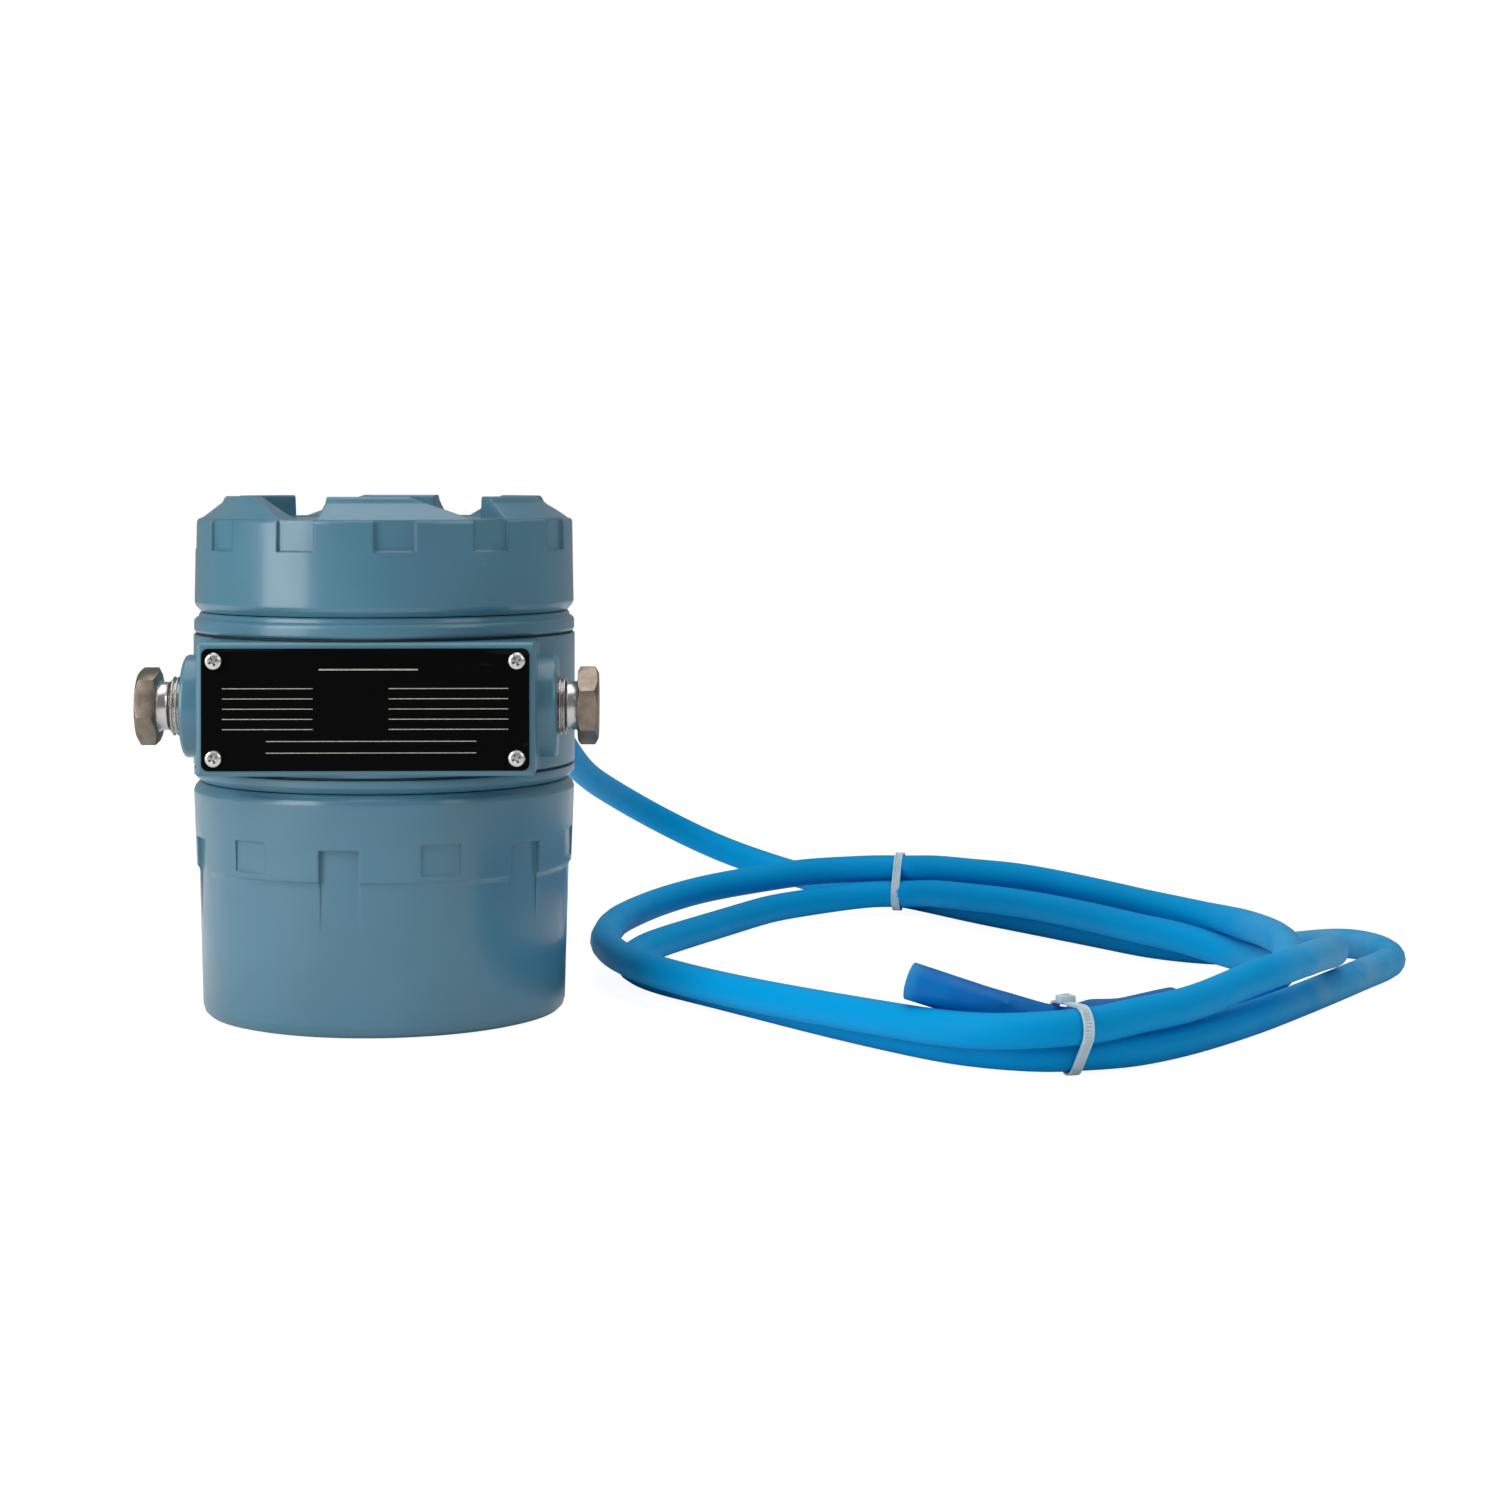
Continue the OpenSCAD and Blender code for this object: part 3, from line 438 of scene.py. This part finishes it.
def stained_steel_finish(name):
    """Rolled stainless bar, stained in clouds: the plugs' heads."""
    steel = looks().plug_steel
    f = Finish(name, steel, 0.38, 1.0)
    f.colour(f.ramp(f.noise(90, 5, 0.65), [(0.34, shade(steel, 0.62)), (0.5, shade(steel, 0.95)),
                                           (0.68, shade(steel, 1.3))]))
    f.roughness(f.ramp(f.noise(140, 4), [(0.3, 0.30), (0.7, 0.52)]))
    return f.relief([(f.rings(), 0.00002, 0.15), (f.noise(400, 3), 0.00008, 0.25)], 0.0003).material


def turned_steel_finish(name):
    """Bright turned stainless: the plugs' shanks."""
    steel = (0.62, 0.60, 0.57)
    f = Finish(name, steel, 0.26, 1.0)
    f.colour(f.mix(f.noise(160, 3), shade(steel, 0.86), shade(steel, 1.1)))
    f.roughness(f.ramp(f.noise(140, 4), [(0.3, 0.18), (0.7, 0.32)]))
    return f.relief([(f.rings(), 0.00002, 0.15), (f.noise(400, 3), 0.00008, 0.06)], 0.0001).material


def screw_finish(name):
    """Bright nickel, with painted shade darkening the cross recess."""
    nickel = (0.70, 0.69, 0.67)
    f = Finish(name, nickel, 0.24, 1.0)
    # Painted shade: an occlusion mask turns the nickel nearly black down in the cross recess.
    f.colour(f.ramp(f.painted_recess_shade(0.0009), [(0.30, (0.05, 0.045, 0.04)), (0.80, nickel)]))
    f.roughness(f.ramp(f.noise(500, 3), [(0.3, 0.18), (0.7, 0.34)]))
    return f.relief([(f.noise(900, 2), 0.00003, 0.3)], 0.00015).material


def gland_finish(name):
    """Satin nickel plating on the cable gland."""
    f = Finish(name, (0.60, 0.59, 0.56), 0.30, 1.0)
    f.colour(f.ramp(f.noise(120, 4), [(0.3, (0.52, 0.51, 0.48)), (0.7, (0.66, 0.65, 0.62))]))
    f.roughness(f.ramp(f.noise(200, 3), [(0.3, 0.22), (0.7, 0.40)]))
    return f.relief([(f.noise(600, 2), 0.00004, 0.3)], 0.0003).material


def jacket_finish(name):
    """Soft cable jacket: even azure, with a chalky bloom at both ends of the turns."""
    jacket = cable_looks().jacket
    f = Finish(name, jacket, 0.46)
    tone = f.ramp(f.noise(9, 2), [(0.35, shade(jacket, 0.93)), (0.65, shade(jacket, 1.06))])
    bloom = f.ramp(f.noise(40, 4, 0.6), [(0.38, 0.25), (0.64, 1)])
    bent = f.ramp(f.along((1, 0, 0)), [(0.076, 0.30), (0.100, 0), (0.312, 0), (0.345, 1)])
    chalk = f.times(f.times(bloom, bent), 0.62)
    f.colour(f.mix(chalk, tone, (0.17, 0.40, 0.57)))
    f.roughness(f.ramp(f.noise(70, 4), [(0.3, 0.40), (0.7, 0.54)]))
    f.set(Specular_IOR_Level=0.06)
    return f.relief([(f.noise(160, 3), 0.0003, 0.12), (f.noise(1100, 2), 0.00006, 0.2)]).material


def sleeve_finish(name):
    """Thin blue plastic, unevenly stretched, paler on the cut edge of its mouth."""
    sleeve = cable_looks().sleeve
    f = Finish(name, sleeve, 0.40)
    tone = f.ramp(f.noise(40, 4), [(0.3, shade(sleeve, 0.82)), (0.7, shade(sleeve, 1.12))])
    mouth = Vector(SLEEVE_LAY[-1]) * MM
    inward = (Vector(SLEEVE_LAY[-2]) * MM - mouth).normalized()
    start = mouth.dot(inward)
    cut_edge = f.ramp(f.along(inward), [(start + 0.0006, 1), (start + 0.0014, 0)])
    f.colour(f.mix(f.times(cut_edge, 0.6), tone, (0.05, 0.38, 0.70)))
    f.roughness(f.ramp(f.noise(110, 3), [(0.3, 0.32), (0.7, 0.5)]))
    f.set(Specular_IOR_Level=0.14)
    return f.relief([(f.noise(120, 4), 0.0005, 0.25), (f.noise(800, 2), 0.00005, 0.2)]).material


def tie_finish(name):
    """Pale nylon that lets a little light through."""
    tie = cable_looks().tie
    f = Finish(name, tie, 0.38)
    f.colour(f.ramp(f.noise(150, 2), [(0.3, shade(tie, 0.93)), (0.7, shade(tie, 1.08))]))
    f.relief([(f.noise(700, 2), 0.00004, 0.25)])
    f.set(Subsurface_Weight=0.25, Subsurface_Scale=0.002, Transmission_Weight=0.12)
    return f.material


def print_finish(name):
    """Pale etched print, slightly worn."""
    f = Finish(name, (0.42, 0.40, 0.35), 0.5)
    f.colour(f.ramp(f.noise(900, 3), [(0.3, (0.34, 0.32, 0.28)), (0.7, (0.50, 0.48, 0.43))]))
    return f.material


def moulded_finish(name, colour, roughness, metallic=0.0):
    """Plain moulded, plated or masked parts inside the housing."""
    f = Finish(name, colour, roughness, metallic)
    f.colour(f.ramp(f.noise(80, 3), [(0.3, shade(colour, 0.85)), (0.7, shade(colour, 1.12))]))
    f.roughness(f.ramp(f.noise(150, 2), [(0.3, roughness - 0.06), (0.7, roughness + 0.08)]))
    return f.relief([(f.noise(500, 2), 0.00004, 0.3)], 0.0002).material


# Each finish: the name of its material, what makes it, and the colour and the dullness it takes.
# The transformer, the capacitors and the processor module keep the plain finish they come with.
FINISHES = {
    "blue_paint": ("teal_enamel", enamel_finish),
    "seal_rubber": ("black_rubber", rubber_finish),
    "black_plate": ("black_anodised", plate_finish),
    "plate_print": ("plate_print", print_finish),
    "bright_screw": ("bright_nickel", screw_finish),
    "plug_steel": ("stained_steel", stained_steel_finish),
    "turned_steel": ("turned_steel", turned_steel_finish),
    "gland_metal": ("nickel_plate", gland_finish),
    "cable_jacket": ("azure_jacket", jacket_finish),
    "sleeve_plastic": ("blue_sleeve", sleeve_finish),
    "tie_nylon": ("pale_nylon", tie_finish),
    "feed_resin": ("cast_resin", moulded_finish, (0.12, 0.08, 0.03), 0.35),
    "post_brass": ("plain_brass", moulded_finish, (0.62, 0.43, 0.16), 0.3, 1.0),
    "board_green": ("solder_mask", moulded_finish, (0.01, 0.09, 0.03), 0.3),
    "terminal_plastic": ("terminal_green", moulded_finish, (0.03, 0.16, 0.06), 0.45),
}


def finish(slot):
    """The material of one finish, made the first time it is asked for."""
    name, maker, *values = FINISHES[slot]
    return bpy.data.materials.get(name) or maker(name, *values)


# ------------------------------------------------------------------ mesh helpers


def link(name, data):
    piece = bpy.data.objects.new(name, data)
    bpy.context.scene.collection.objects.link(piece)
    return piece


def choose(piece):
    """Makes one piece the only selected and active object."""
    bpy.ops.object.select_all(action="DESELECT")
    piece.select_set(True)
    bpy.context.view_layer.objects.active = piece


def apply_modifiers(piece):
    choose(piece)
    for modifier in list(piece.modifiers):
        bpy.ops.object.modifier_apply(modifier=modifier.name)


def settle(piece):
    """Leaves the piece's object at the origin, with its place in its mesh."""
    choose(piece)
    bpy.ops.object.transform_apply(location=True, rotation=True, scale=True)


def outward(piece):
    """Merges doubled points and turns every face outwards."""
    choose(piece)
    bpy.ops.object.mode_set(mode="EDIT")
    bpy.ops.mesh.select_all(action="SELECT")
    bpy.ops.mesh.remove_doubles(threshold=0.000002)
    bpy.ops.mesh.normals_make_consistent(inside=False)
    bpy.ops.object.mode_set(mode="OBJECT")


def smooth(piece, degrees):
    choose(piece)
    bpy.ops.object.shade_smooth_by_angle(angle=math.radians(degrees))


def finish_piece(piece, slot, body, look=None):
    """Gives a piece its slot's finish, or another look, and has it ride on a body."""
    piece.data.materials.clear()
    piece.data.materials.append(finish(look or slot))
    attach(piece, body)


def spun(name, profile, centre):
    """A turned piece: a profile of (along, radius) in metres, spun once about an X axis."""
    mesh = bpy.data.meshes.new(name)
    points = [tuple(Vector(centre) + Vector((along, radius, 0))) for along, radius in profile]
    mesh.from_pydata(points, [(i, i + 1) for i in range(len(points) - 1)], [])
    piece = link(name, mesh)
    choose(piece)
    bpy.ops.object.mode_set(mode="EDIT")
    bpy.ops.mesh.select_all(action="SELECT")
    bpy.ops.mesh.spin(steps=96, angle=TAU, center=centre, axis=(1, 0, 0))
    bpy.ops.object.mode_set(mode="OBJECT")
    outward(piece)
    return piece


def added_box(name, centre, size, bevel=0.0):
    """A block at its place and size, with softened edges where a bevel is given."""
    bpy.ops.object.select_all(action="DESELECT")
    bpy.ops.mesh.primitive_cube_add(size=1, location=centre)
    piece = bpy.context.object
    piece.name = name
    piece.scale = size
    settle(piece)
    if bevel:
        edge = piece.modifiers.new("soft_edges", "BEVEL")
        edge.width = bevel
        edge.segments = 2
        apply_modifiers(piece)
    return piece


def joined(name, parts):
    """Several pieces made one, under a new name."""
    bpy.ops.object.select_all(action="DESELECT")
    for part in parts:
        part.select_set(True)
    bpy.context.view_layer.objects.active = parts[0]
    bpy.ops.object.join()
    parts[0].name = name
    return parts[0]


def metres(points):
    """Points given in millimetres, in metres."""
    return [Vector(p) * MM for p in points]


def drawn_curve(name, points, radii, thickness, sides=6):
    """A round curve drawn softly towards its points, as thick as thickness times each radius."""
    data = bpy.data.curves.new(name, "CURVE")
    data.dimensions = "3D"
    spline = data.splines.new("NURBS")
    spline.points.add(len(points) - 1)
    for place, point, radius in zip(spline.points, points, radii):
        place.co = (*point, 1)
        place.radius = radius
    spline.order_u = 4
    spline.use_endpoint_u = True
    spline.resolution_u = 6
    data.bevel_depth = thickness
    data.bevel_resolution = sides
    data.use_fill_caps = True
    return link(name, data)


# ------------------------------------------------------------------ stage and camera


class TRANSMITTER_OT_stage(bpy.types.Operator):
    """Lay the floor, hang the lamps and place the camera"""

    bl_idname = "transmitter.stage"
    bl_label = "Stage and camera"

    def execute(self, context):
        scene = context.scene
        scene.view_settings.view_transform = "Standard"
        self.place_camera(scene)
        self.lay_floor()
        self.light_world(scene)
        s = scene.stage_looks
        for name, (place, target, size, share) in LAMPS.items():
            self.hang_lamp(name, place, target, size, s.key_power * share, s.turn)
        return {"FINISHED"}

    def place_camera(self, scene):
        s = scene.stage_looks
        data = bpy.data.cameras.new("studio_camera")
        data.lens = s.lens
        data.sensor_width = 36
        data.shift_y = s.shift
        data.clip_start = 0.05
        data.clip_end = 20
        camera = link("studio_camera", data)
        walked = Matrix.Rotation(s.turn, 4, "Z")
        camera.location = walked @ Vector((s.sideways, -s.distance, s.eye_height))
        camera.rotation_euler = (math.radians(90), 0, s.turn)
        scene.camera = camera

    def lay_floor(self):
        bpy.ops.object.select_all(action="DESELECT")
        bpy.ops.mesh.primitive_plane_add(size=FLOOR_SIZE, location=(0, 0, -FLOOR_DROP))
        floor = bpy.context.object
        floor.name = "studio_floor"
        f = Finish("studio_white", (FLOOR_WHITE, FLOOR_WHITE, FLOOR_WHITE), 0.9)
        f.set(Specular_IOR_Level=0.0)
        tree = f.tree
        path = tree.nodes.new("ShaderNodeLightPath")
        glow = tree.nodes.new("ShaderNodeEmission")
        glow.inputs["Strength"].default_value = FLOOR_GLOW
        blend = tree.nodes.new("ShaderNodeMixShader")
        share = f.times(path.outputs["Is Camera Ray"], FLOOR_GLOW_SHARE)
        tree.links.new(share, blend.inputs["Fac"])
        tree.links.new(f.shader.outputs["BSDF"], blend.inputs[1])
        tree.links.new(glow.outputs["Emission"], blend.inputs[2])
        tree.links.new(blend.outputs["Shader"], tree.nodes["Material Output"].inputs["Surface"])
        floor.data.materials.append(f.material)

    def light_world(self, scene):
        world = bpy.data.worlds.new("studio_world")
        scene.world = world
        world.use_nodes = True
        tree = world.node_tree
        sky = tree.nodes["Background"]
        sky.inputs["Color"].default_value = SKY_COLOUR
        sky.inputs["Strength"].default_value = SKY_STRENGTH
        white = tree.nodes.new("ShaderNodeBackground")
        white.inputs["Color"].default_value = (1, 1, 1, 1)
        white.inputs["Strength"].default_value = 1.0
        path = tree.nodes.new("ShaderNodeLightPath")
        blend = tree.nodes.new("ShaderNodeMixShader")
        tree.links.new(path.outputs["Is Camera Ray"], blend.inputs["Fac"])
        tree.links.new(sky.outputs["Background"], blend.inputs[1])
        tree.links.new(white.outputs["Background"], blend.inputs[2])
        tree.links.new(blend.outputs["Shader"], tree.nodes["World Output"].inputs["Surface"])

    def hang_lamp(self, name, place, target, size, power, turn):
        data = bpy.data.lights.new(name, "AREA")
        data.shape = "RECTANGLE"
        data.size, data.size_y = size
        data.energy = power
        lamp = link(name, data)
        lamp.location = Matrix.Rotation(turn, 3, "Z") @ Vector(place)
        aim = Vector(target) - lamp.location
        lamp.rotation_euler = aim.to_track_quat("-Z", "Y").to_euler()


# ------------------------------------------------------------------ cable, sleeve and ties


class TRANSMITTER_OT_cable(bpy.types.Operator):
    """Lay the signal cable from the gland through its two loose turns"""

    bl_idname = "transmitter.cable"
    bl_label = "Signal cable"

    def execute(self, context):
        route = metres([GLAND_MOUTH, GLAND_MOUTH + GLAND_WAY * CABLE_LEAD] + CABLE_LAY)
        cable = drawn_curve("laid_signal_cable", route, [1.0] * len(route), CABLE_RADIUS * MM)
        finish_piece(cable, "cable_jacket", "housing")
        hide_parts("signal_cable")
        return {"FINISHED"}


class TRANSMITTER_OT_sleeve(bpy.types.Operator):
    """Pull the limp sleeve over the cable's end, creased where the front tie holds it"""

    bl_idname = "transmitter.sleeve"
    bl_label = "Cable end sleeve"

    def execute(self, context):
        route = metres(SLEEVE_LAY)
        sleeve = drawn_curve("limp_sleeve", route, [r * MM for r in SLEEVE_RADII], 1.0, sides=8)
        sleeve.data.use_fill_caps = False
        choose(sleeve)
        bpy.ops.object.convert(target="MESH")
        sleeve = context.object
        self.crease(sleeve, route)
        outward(sleeve)
        wall = sleeve.modifiers.new("wall", "SOLIDIFY")
        wall.thickness = SLEEVE_WALL * MM
        wall.offset = -1
        apply_modifiers(sleeve)
        outward(sleeve)
        smooth(sleeve, 50)
        finish_piece(sleeve, "sleeve_plastic", "housing")
        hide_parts("cable_end_sleeve")
        return {"FINISHED"}

    def crease(self, sleeve, route):
        """Presses lengthwise folds into the wall, deepest where the tie holds it."""
        pinch = route[5].lerp(route[6], 0.4)
        for vertex in sleeve.data.vertices:
            place = vertex.co.copy()
            out = place - self.axis_point(route, place)
            near = math.exp(-((place - pinch).length / (FOLD_REACH * MM)) ** 2)
            fold = math.sin(FOLD_COUNT * math.atan2(out.z, out.x) + FOLD_TWIST * place.x)
            vertex.co = place + out.normalized() * fold * FOLD_DEPTH * MM * near

    def axis_point(self, route, place):
        """The point of the sleeve's own axis nearest to a place on its wall."""
        feet = []
        for a, b in zip(route, route[1:]):
            share = min(1, max(0, intersect_point_line(place, a, b)[1]))
            feet.append(a.lerp(b, share))
        return min(feet, key=lambda foot: (foot - place).length)


def turns_left(a, b, c):
    """Whether the way from a over b to c turns left."""
    return (b[0] - a[0]) * (c[1] - a[1]) - (b[1] - a[1]) * (c[0] - a[0]) > 0


def half_hull(points):
    """One side of the convex outline of sorted flat points, without its last point."""
    chain = []
    for point in points:
        while len(chain) > 1 and not turns_left(chain[-2], chain[-1], point):
            chain.pop()
        chain.append(point)
    return chain[:-1]


def hull(points):
    """The convex outline of flat points, counter-clockwise."""
    points = sorted(set(points))
    return half_hull(points) + half_hull(points[::-1])


def round_strand(sideways, height, radius):
    """The round on which a strap lies, as flat points."""
    reach = radius + STRAP_SLACK
    angles = [TAU * k / 72 for k in range(72)]
    return [(sideways + reach * math.cos(a), height + reach * math.sin(a)) for a in angles]


def evenly(outline, step):
    """The closed outline again, with an even number of points about a step apart."""
    loop = [Vector(p) for p in outline] + [Vector(outline[0])]
    total = sum((b - a).length for a, b in zip(loop, loop[1:]))
    count = round(total / step) // 2 * 2
    result = []
    i = 0
    walked = 0.0
    for k in range(count):
        want = total * k / count
        while walked + (loop[i + 1] - loop[i]).length < want:
            walked += (loop[i + 1] - loop[i]).length
            i += 1
        span = (loop[i + 1] - loop[i]).length
        result.append(loop[i].lerp(loop[i + 1], (want - walked) / span))
    return result


class TRANSMITTER_OT_ties(bpy.types.Operator):
    """Close the two nylon ties round their strands"""

    bl_idname = "transmitter.ties"
    bl_label = "Cable ties"

    def execute(self, context):
        self.close_tie("ribbed_rear_tie", "rear_cable_tie", **REAR_TIE)
        self.close_tie("ribbed_front_tie", "front_cable_tie", **FRONT_TIE)
        return {"FINISHED"}

    def close_tie(self, name, node, place, turn, strands, seat, lean):
        """Makes a tie upright at the origin, in millimetres, and moves it to its place."""
        strap = self.strap(name + "_strap", strands)
        seated = Matrix.Translation((0, *seat)) @ Matrix.Rotation(math.radians(lean), 4, "X")
        tie = joined(name, [strap, *self.head(seated)])
        spot = (Matrix.Translation((place[0] * MM, place[1] * MM, 0))
                @ Matrix.Rotation(math.radians(turn), 4, "Z") @ Matrix.Scale(MM, 4))
        tie.data.transform(spot)
        outward(tie)
        smooth(tie, 30)
        finish_piece(tie, "tie_nylon", "housing")
        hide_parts(node)

    def strap(self, name, strands):
        """The closed strap, ribbed between its plain edges."""
        half = cable_looks().strap_width / MM / 2
        inner = half - STRAP_EDGE
        rows = [(-half, 0.0), (-half, STRAP_THICK), (-inner, STRAP_THICK),
                (STRAP_SLOPE - inner, STRAP_THIN), (inner - STRAP_SLOPE, STRAP_THIN),
                (inner, STRAP_THICK), (half, STRAP_THICK), (half, 0.0)]
        rounds = [point for strand in strands for point in round_strand(*strand)]
        path = evenly(hull(rounds), RIB_STEP)
        mesh = bmesh.new()
        count = len(path)
        for k, point in enumerate(path):
            ahead = (path[(k + 1) % count] - path[k - 1]).normalized()
            out = Vector((ahead.y, -ahead.x))
            for x, rise in rows:
                if rise == STRAP_THIN and k % 2:
                    rise = STRAP_THICK
                spot = point + out * rise
                mesh.verts.new((x, spot.x, spot.y))
        mesh.verts.ensure_lookup_table()
        wide = len(rows)
        for k in range(count):
            here = k * wide
            ahead = (k + 1) % count * wide
            for j in range(wide):
                beside = (j + 1) % wide
                corners = (here + j, ahead + j, ahead + beside, here + beside)
                mesh.faces.new([mesh.verts[corner] for corner in corners])
        data = bpy.data.meshes.new(name)
        mesh.to_mesh(data)
        mesh.free()
        return link(name, data)

    def head(self, seated):
        """The head with its slot, and the strap's cut end in the slot."""
        block = self.head_box("tie_head", HEAD_BLOCK, 0.5)
        slot = self.head_box("tie_slot", HEAD_SLOT, 0.1)
        opening = block.modifiers.new("strap_slot", "BOOLEAN")
        opening.operation = "DIFFERENCE"
        opening.object = slot
        apply_modifiers(block)
        bpy.data.objects.remove(slot)
        tail = self.head_box("tie_tail", HEAD_TAIL, 0.15)
        for part in (block, tail):
            part.data.transform(seated)
        return block, tail

    def head_box(self, name, form, bevel):
        height, size = form
        return added_box(name, (0, 0, height), size, bevel)


class TRANSMITTER_OT_declare_cable(bpy.types.Operator):
    """Does nothing; it returns at once"""

    bl_idname = "transmitter.declare_cable"
    bl_label = "Declare the cable"

    def execute(self, context):
        return {"FINISHED"}


# ------------------------------------------------------------------ housing details


class TRANSMITTER_OT_plugs(bpy.types.Operator):
    """Turn the two blanking plugs: hexagon head, bright neck and the thread left showing"""

    bl_idname = "transmitter.plugs"
    bl_label = "Blanking plugs"

    def execute(self, context):
        self.make_plug("turned_left_plug", "left_plug", **LEFT_PLUG)
        self.make_plug("turned_right_plug", "right_plug", **RIGHT_PLUG)
        return {"FINISHED"}

    def make_plug(self, name, node, side, show, turn):
        shank = self.shank(name + "_shank", side, show)
        smooth(shank, 40)
        shank.data.materials.append(finish("turned_steel"))
        head = self.head(name, side, show, turn)
        smooth(head, 30)
        head.data.materials.append(finish("plug_steel"))
        plug = joined(name, [head, shank])
        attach(plug, "housing")
        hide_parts(node)

    def shank(self, name, side, show):
        """The thread as far as it shows, and the neck under the head, as (along, radius)."""
        neck = show - NECK_LENGTH
        rows = [(-SHANK_SUNK, 0), (-SHANK_SUNK, SHANK_RADIUS), (0, SHANK_RADIUS)]
        along = THREAD_START
        while along + RIDGE_LENGTH < neck + THREAD_RUNOUT:
            rows += [(along, THREAD_ROOT), (along + 0.5, THREAD_CREST),
                     (along + 0.8, THREAD_CREST), (along + RIDGE_LENGTH, THREAD_ROOT)]
            along += THREAD_PITCH
        rows += [(neck, NECK_RADIUS + 0.7), (neck + 0.3, NECK_RADIUS + 0.2), (neck + 0.8, NECK_RADIUS),
                 (show - 0.7, NECK_RADIUS), (show - 0.2, NECK_RADIUS + 0.4),
                 (show + 0.4, NECK_RADIUS + 0.6), (show + 0.4, 0)]
        return self.turned(name, rows, side, Vector((side * BOSS_FACE, PLUG_Y, ENTRY_HEIGHT)) * MM)

    def turned(self, name, rows, side, centre):
        """A round piece from rows in millimetres that run outwards on one side."""
        return spun(name, [(side * along * MM, radius * MM) for along, radius in rows], centre)

    def head(self, name, side, show, turn):
        """A hexagon bar end with its corners turned away on both faces."""
        bpy.ops.object.select_all(action="DESELECT")
        bpy.ops.mesh.primitive_cylinder_add(vertices=6, radius=PLUG_FLATS / math.sqrt(3) * MM,
                                            depth=PLUG_HEAD * MM)
        head = bpy.context.object
        head.name = name
        half = PLUG_HEAD / 2
        centre = Vector((side * (BOSS_FACE + show + half), PLUG_Y, ENTRY_HEIGHT)) * MM
        head.data.transform(Matrix.Translation(centre) @ Matrix.Rotation(math.radians(turn), 4, "X")
                            @ Matrix.Rotation(math.radians(90), 4, "Y"))
        rows = [(-half, 0), (-half, PLUG_BACK), (1.1 - half, PLUG_CORNER),
                (half - 1.5, PLUG_CORNER), (half, PLUG_FRONT), (half, 0)]
        blank = self.turned(name + "_blank", rows, side, centre)
        common = head.modifiers.new("turned_ends", "BOOLEAN")
        common.operation = "INTERSECT"
        common.object = blank
        edge = head.modifiers.new("worn_edges", "BEVEL")
        edge.width = PLUG_WEAR * MM
        edge.segments = 2
        edge.limit_method = "ANGLE"
        edge.angle_limit = math.radians(25)
        apply_modifiers(head)
        bpy.data.objects.remove(blank)
        outward(head)
        return head


class TRANSMITTER_OT_plate_lines(bpy.types.Operator):
    """Print the bare ruled lines of the nameplate's empty form"""

    bl_idname = "transmitter.plate_lines"
    bl_label = "Nameplate lines"

    def execute(self, context):
        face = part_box("nameplate")[0][1]
        parts = []
        for left, right, height, thick in RULES:
            centre = ((left + right) / 2 * MM, face - RULE_OFF * MM, height * MM)
            size = ((right - left) * MM, RULE_DEPTH * MM, thick * MM)
            parts.append(added_box("rule", centre, size))
        rules = joined("nameplate_rules", parts)
        finish_piece(rules, "black_plate", "housing", "plate_print")
        return {"FINISHED"}


class TRANSMITTER_OT_finishes(bpy.types.Operator):
    """Give the parts of the frame their finishes"""

    bl_idname = "transmitter.finishes"
    bl_label = "Finishes"

    def execute(self, context):
        slots = {row["node"]: row["material_slot"] for row in frame["record"]["subparts"]}
        for node, part in frame["nodes"].items():
            if slots[node] not in FINISHES:
                continue
            for own in part.material_slots:
                own.material = finish(slots[node])
        return {"FINISHED"}


class TRANSMITTER_PT_panel(bpy.types.Panel):
    """Lists the steps of the build"""

    bl_label = "Transmitter"
    bl_idname = "TRANSMITTER_PT_panel"
    bl_space_type = "VIEW_3D"
    bl_region_type = "UI"
    bl_category = "Transmitter"

    def draw(self, context):
        column = self.layout.column(align=True)
        for step in STEPS:
            column.operator(step.bl_idname)
        for group_name, _ in GROUPS:
            group = getattr(context.scene, group_name)
            box = self.layout.box()
            for name in group.bl_rna.properties.keys():
                if name not in ("rna_type", "name"):
                    box.prop(group, name)


GROUPS = (
    ("transmitter_looks", TransmitterLooks),
    ("cable_looks", CableLooks),
    ("stage_looks", StageLooks),
)
STEPS = (
    TRANSMITTER_OT_stage,
    TRANSMITTER_OT_cable,
    TRANSMITTER_OT_sleeve,
    TRANSMITTER_OT_ties,
    TRANSMITTER_OT_declare_cable,
    TRANSMITTER_OT_plugs,
    TRANSMITTER_OT_plate_lines,
    TRANSMITTER_OT_finishes,
)


def register():
    for name, group in GROUPS:
        bpy.utils.register_class(group)
        setattr(bpy.types.Scene, name, PointerProperty(type=group))
    for cls in (*STEPS, TRANSMITTER_PT_panel):
        bpy.utils.register_class(cls)


def unregister():
    for cls in (TRANSMITTER_PT_panel, *reversed(STEPS)):
        bpy.utils.unregister_class(cls)
    for name, group in reversed(GROUPS):
        delattr(bpy.types.Scene, name)
        bpy.utils.unregister_class(group)


def run_step(step):
    """Calls an operator, and stops the build if it doesn't finish."""
    family, name = step.bl_idname.split(".")
    if getattr(getattr(bpy.ops, family), name)() != {"FINISHED"}:
        raise RuntimeError(f"{step.bl_label} did not finish")


def main():
    register()
    for step in STEPS:
        run_step(step)
    bpy.context.view_layer.update()


if __name__ == "__main__":
    main()
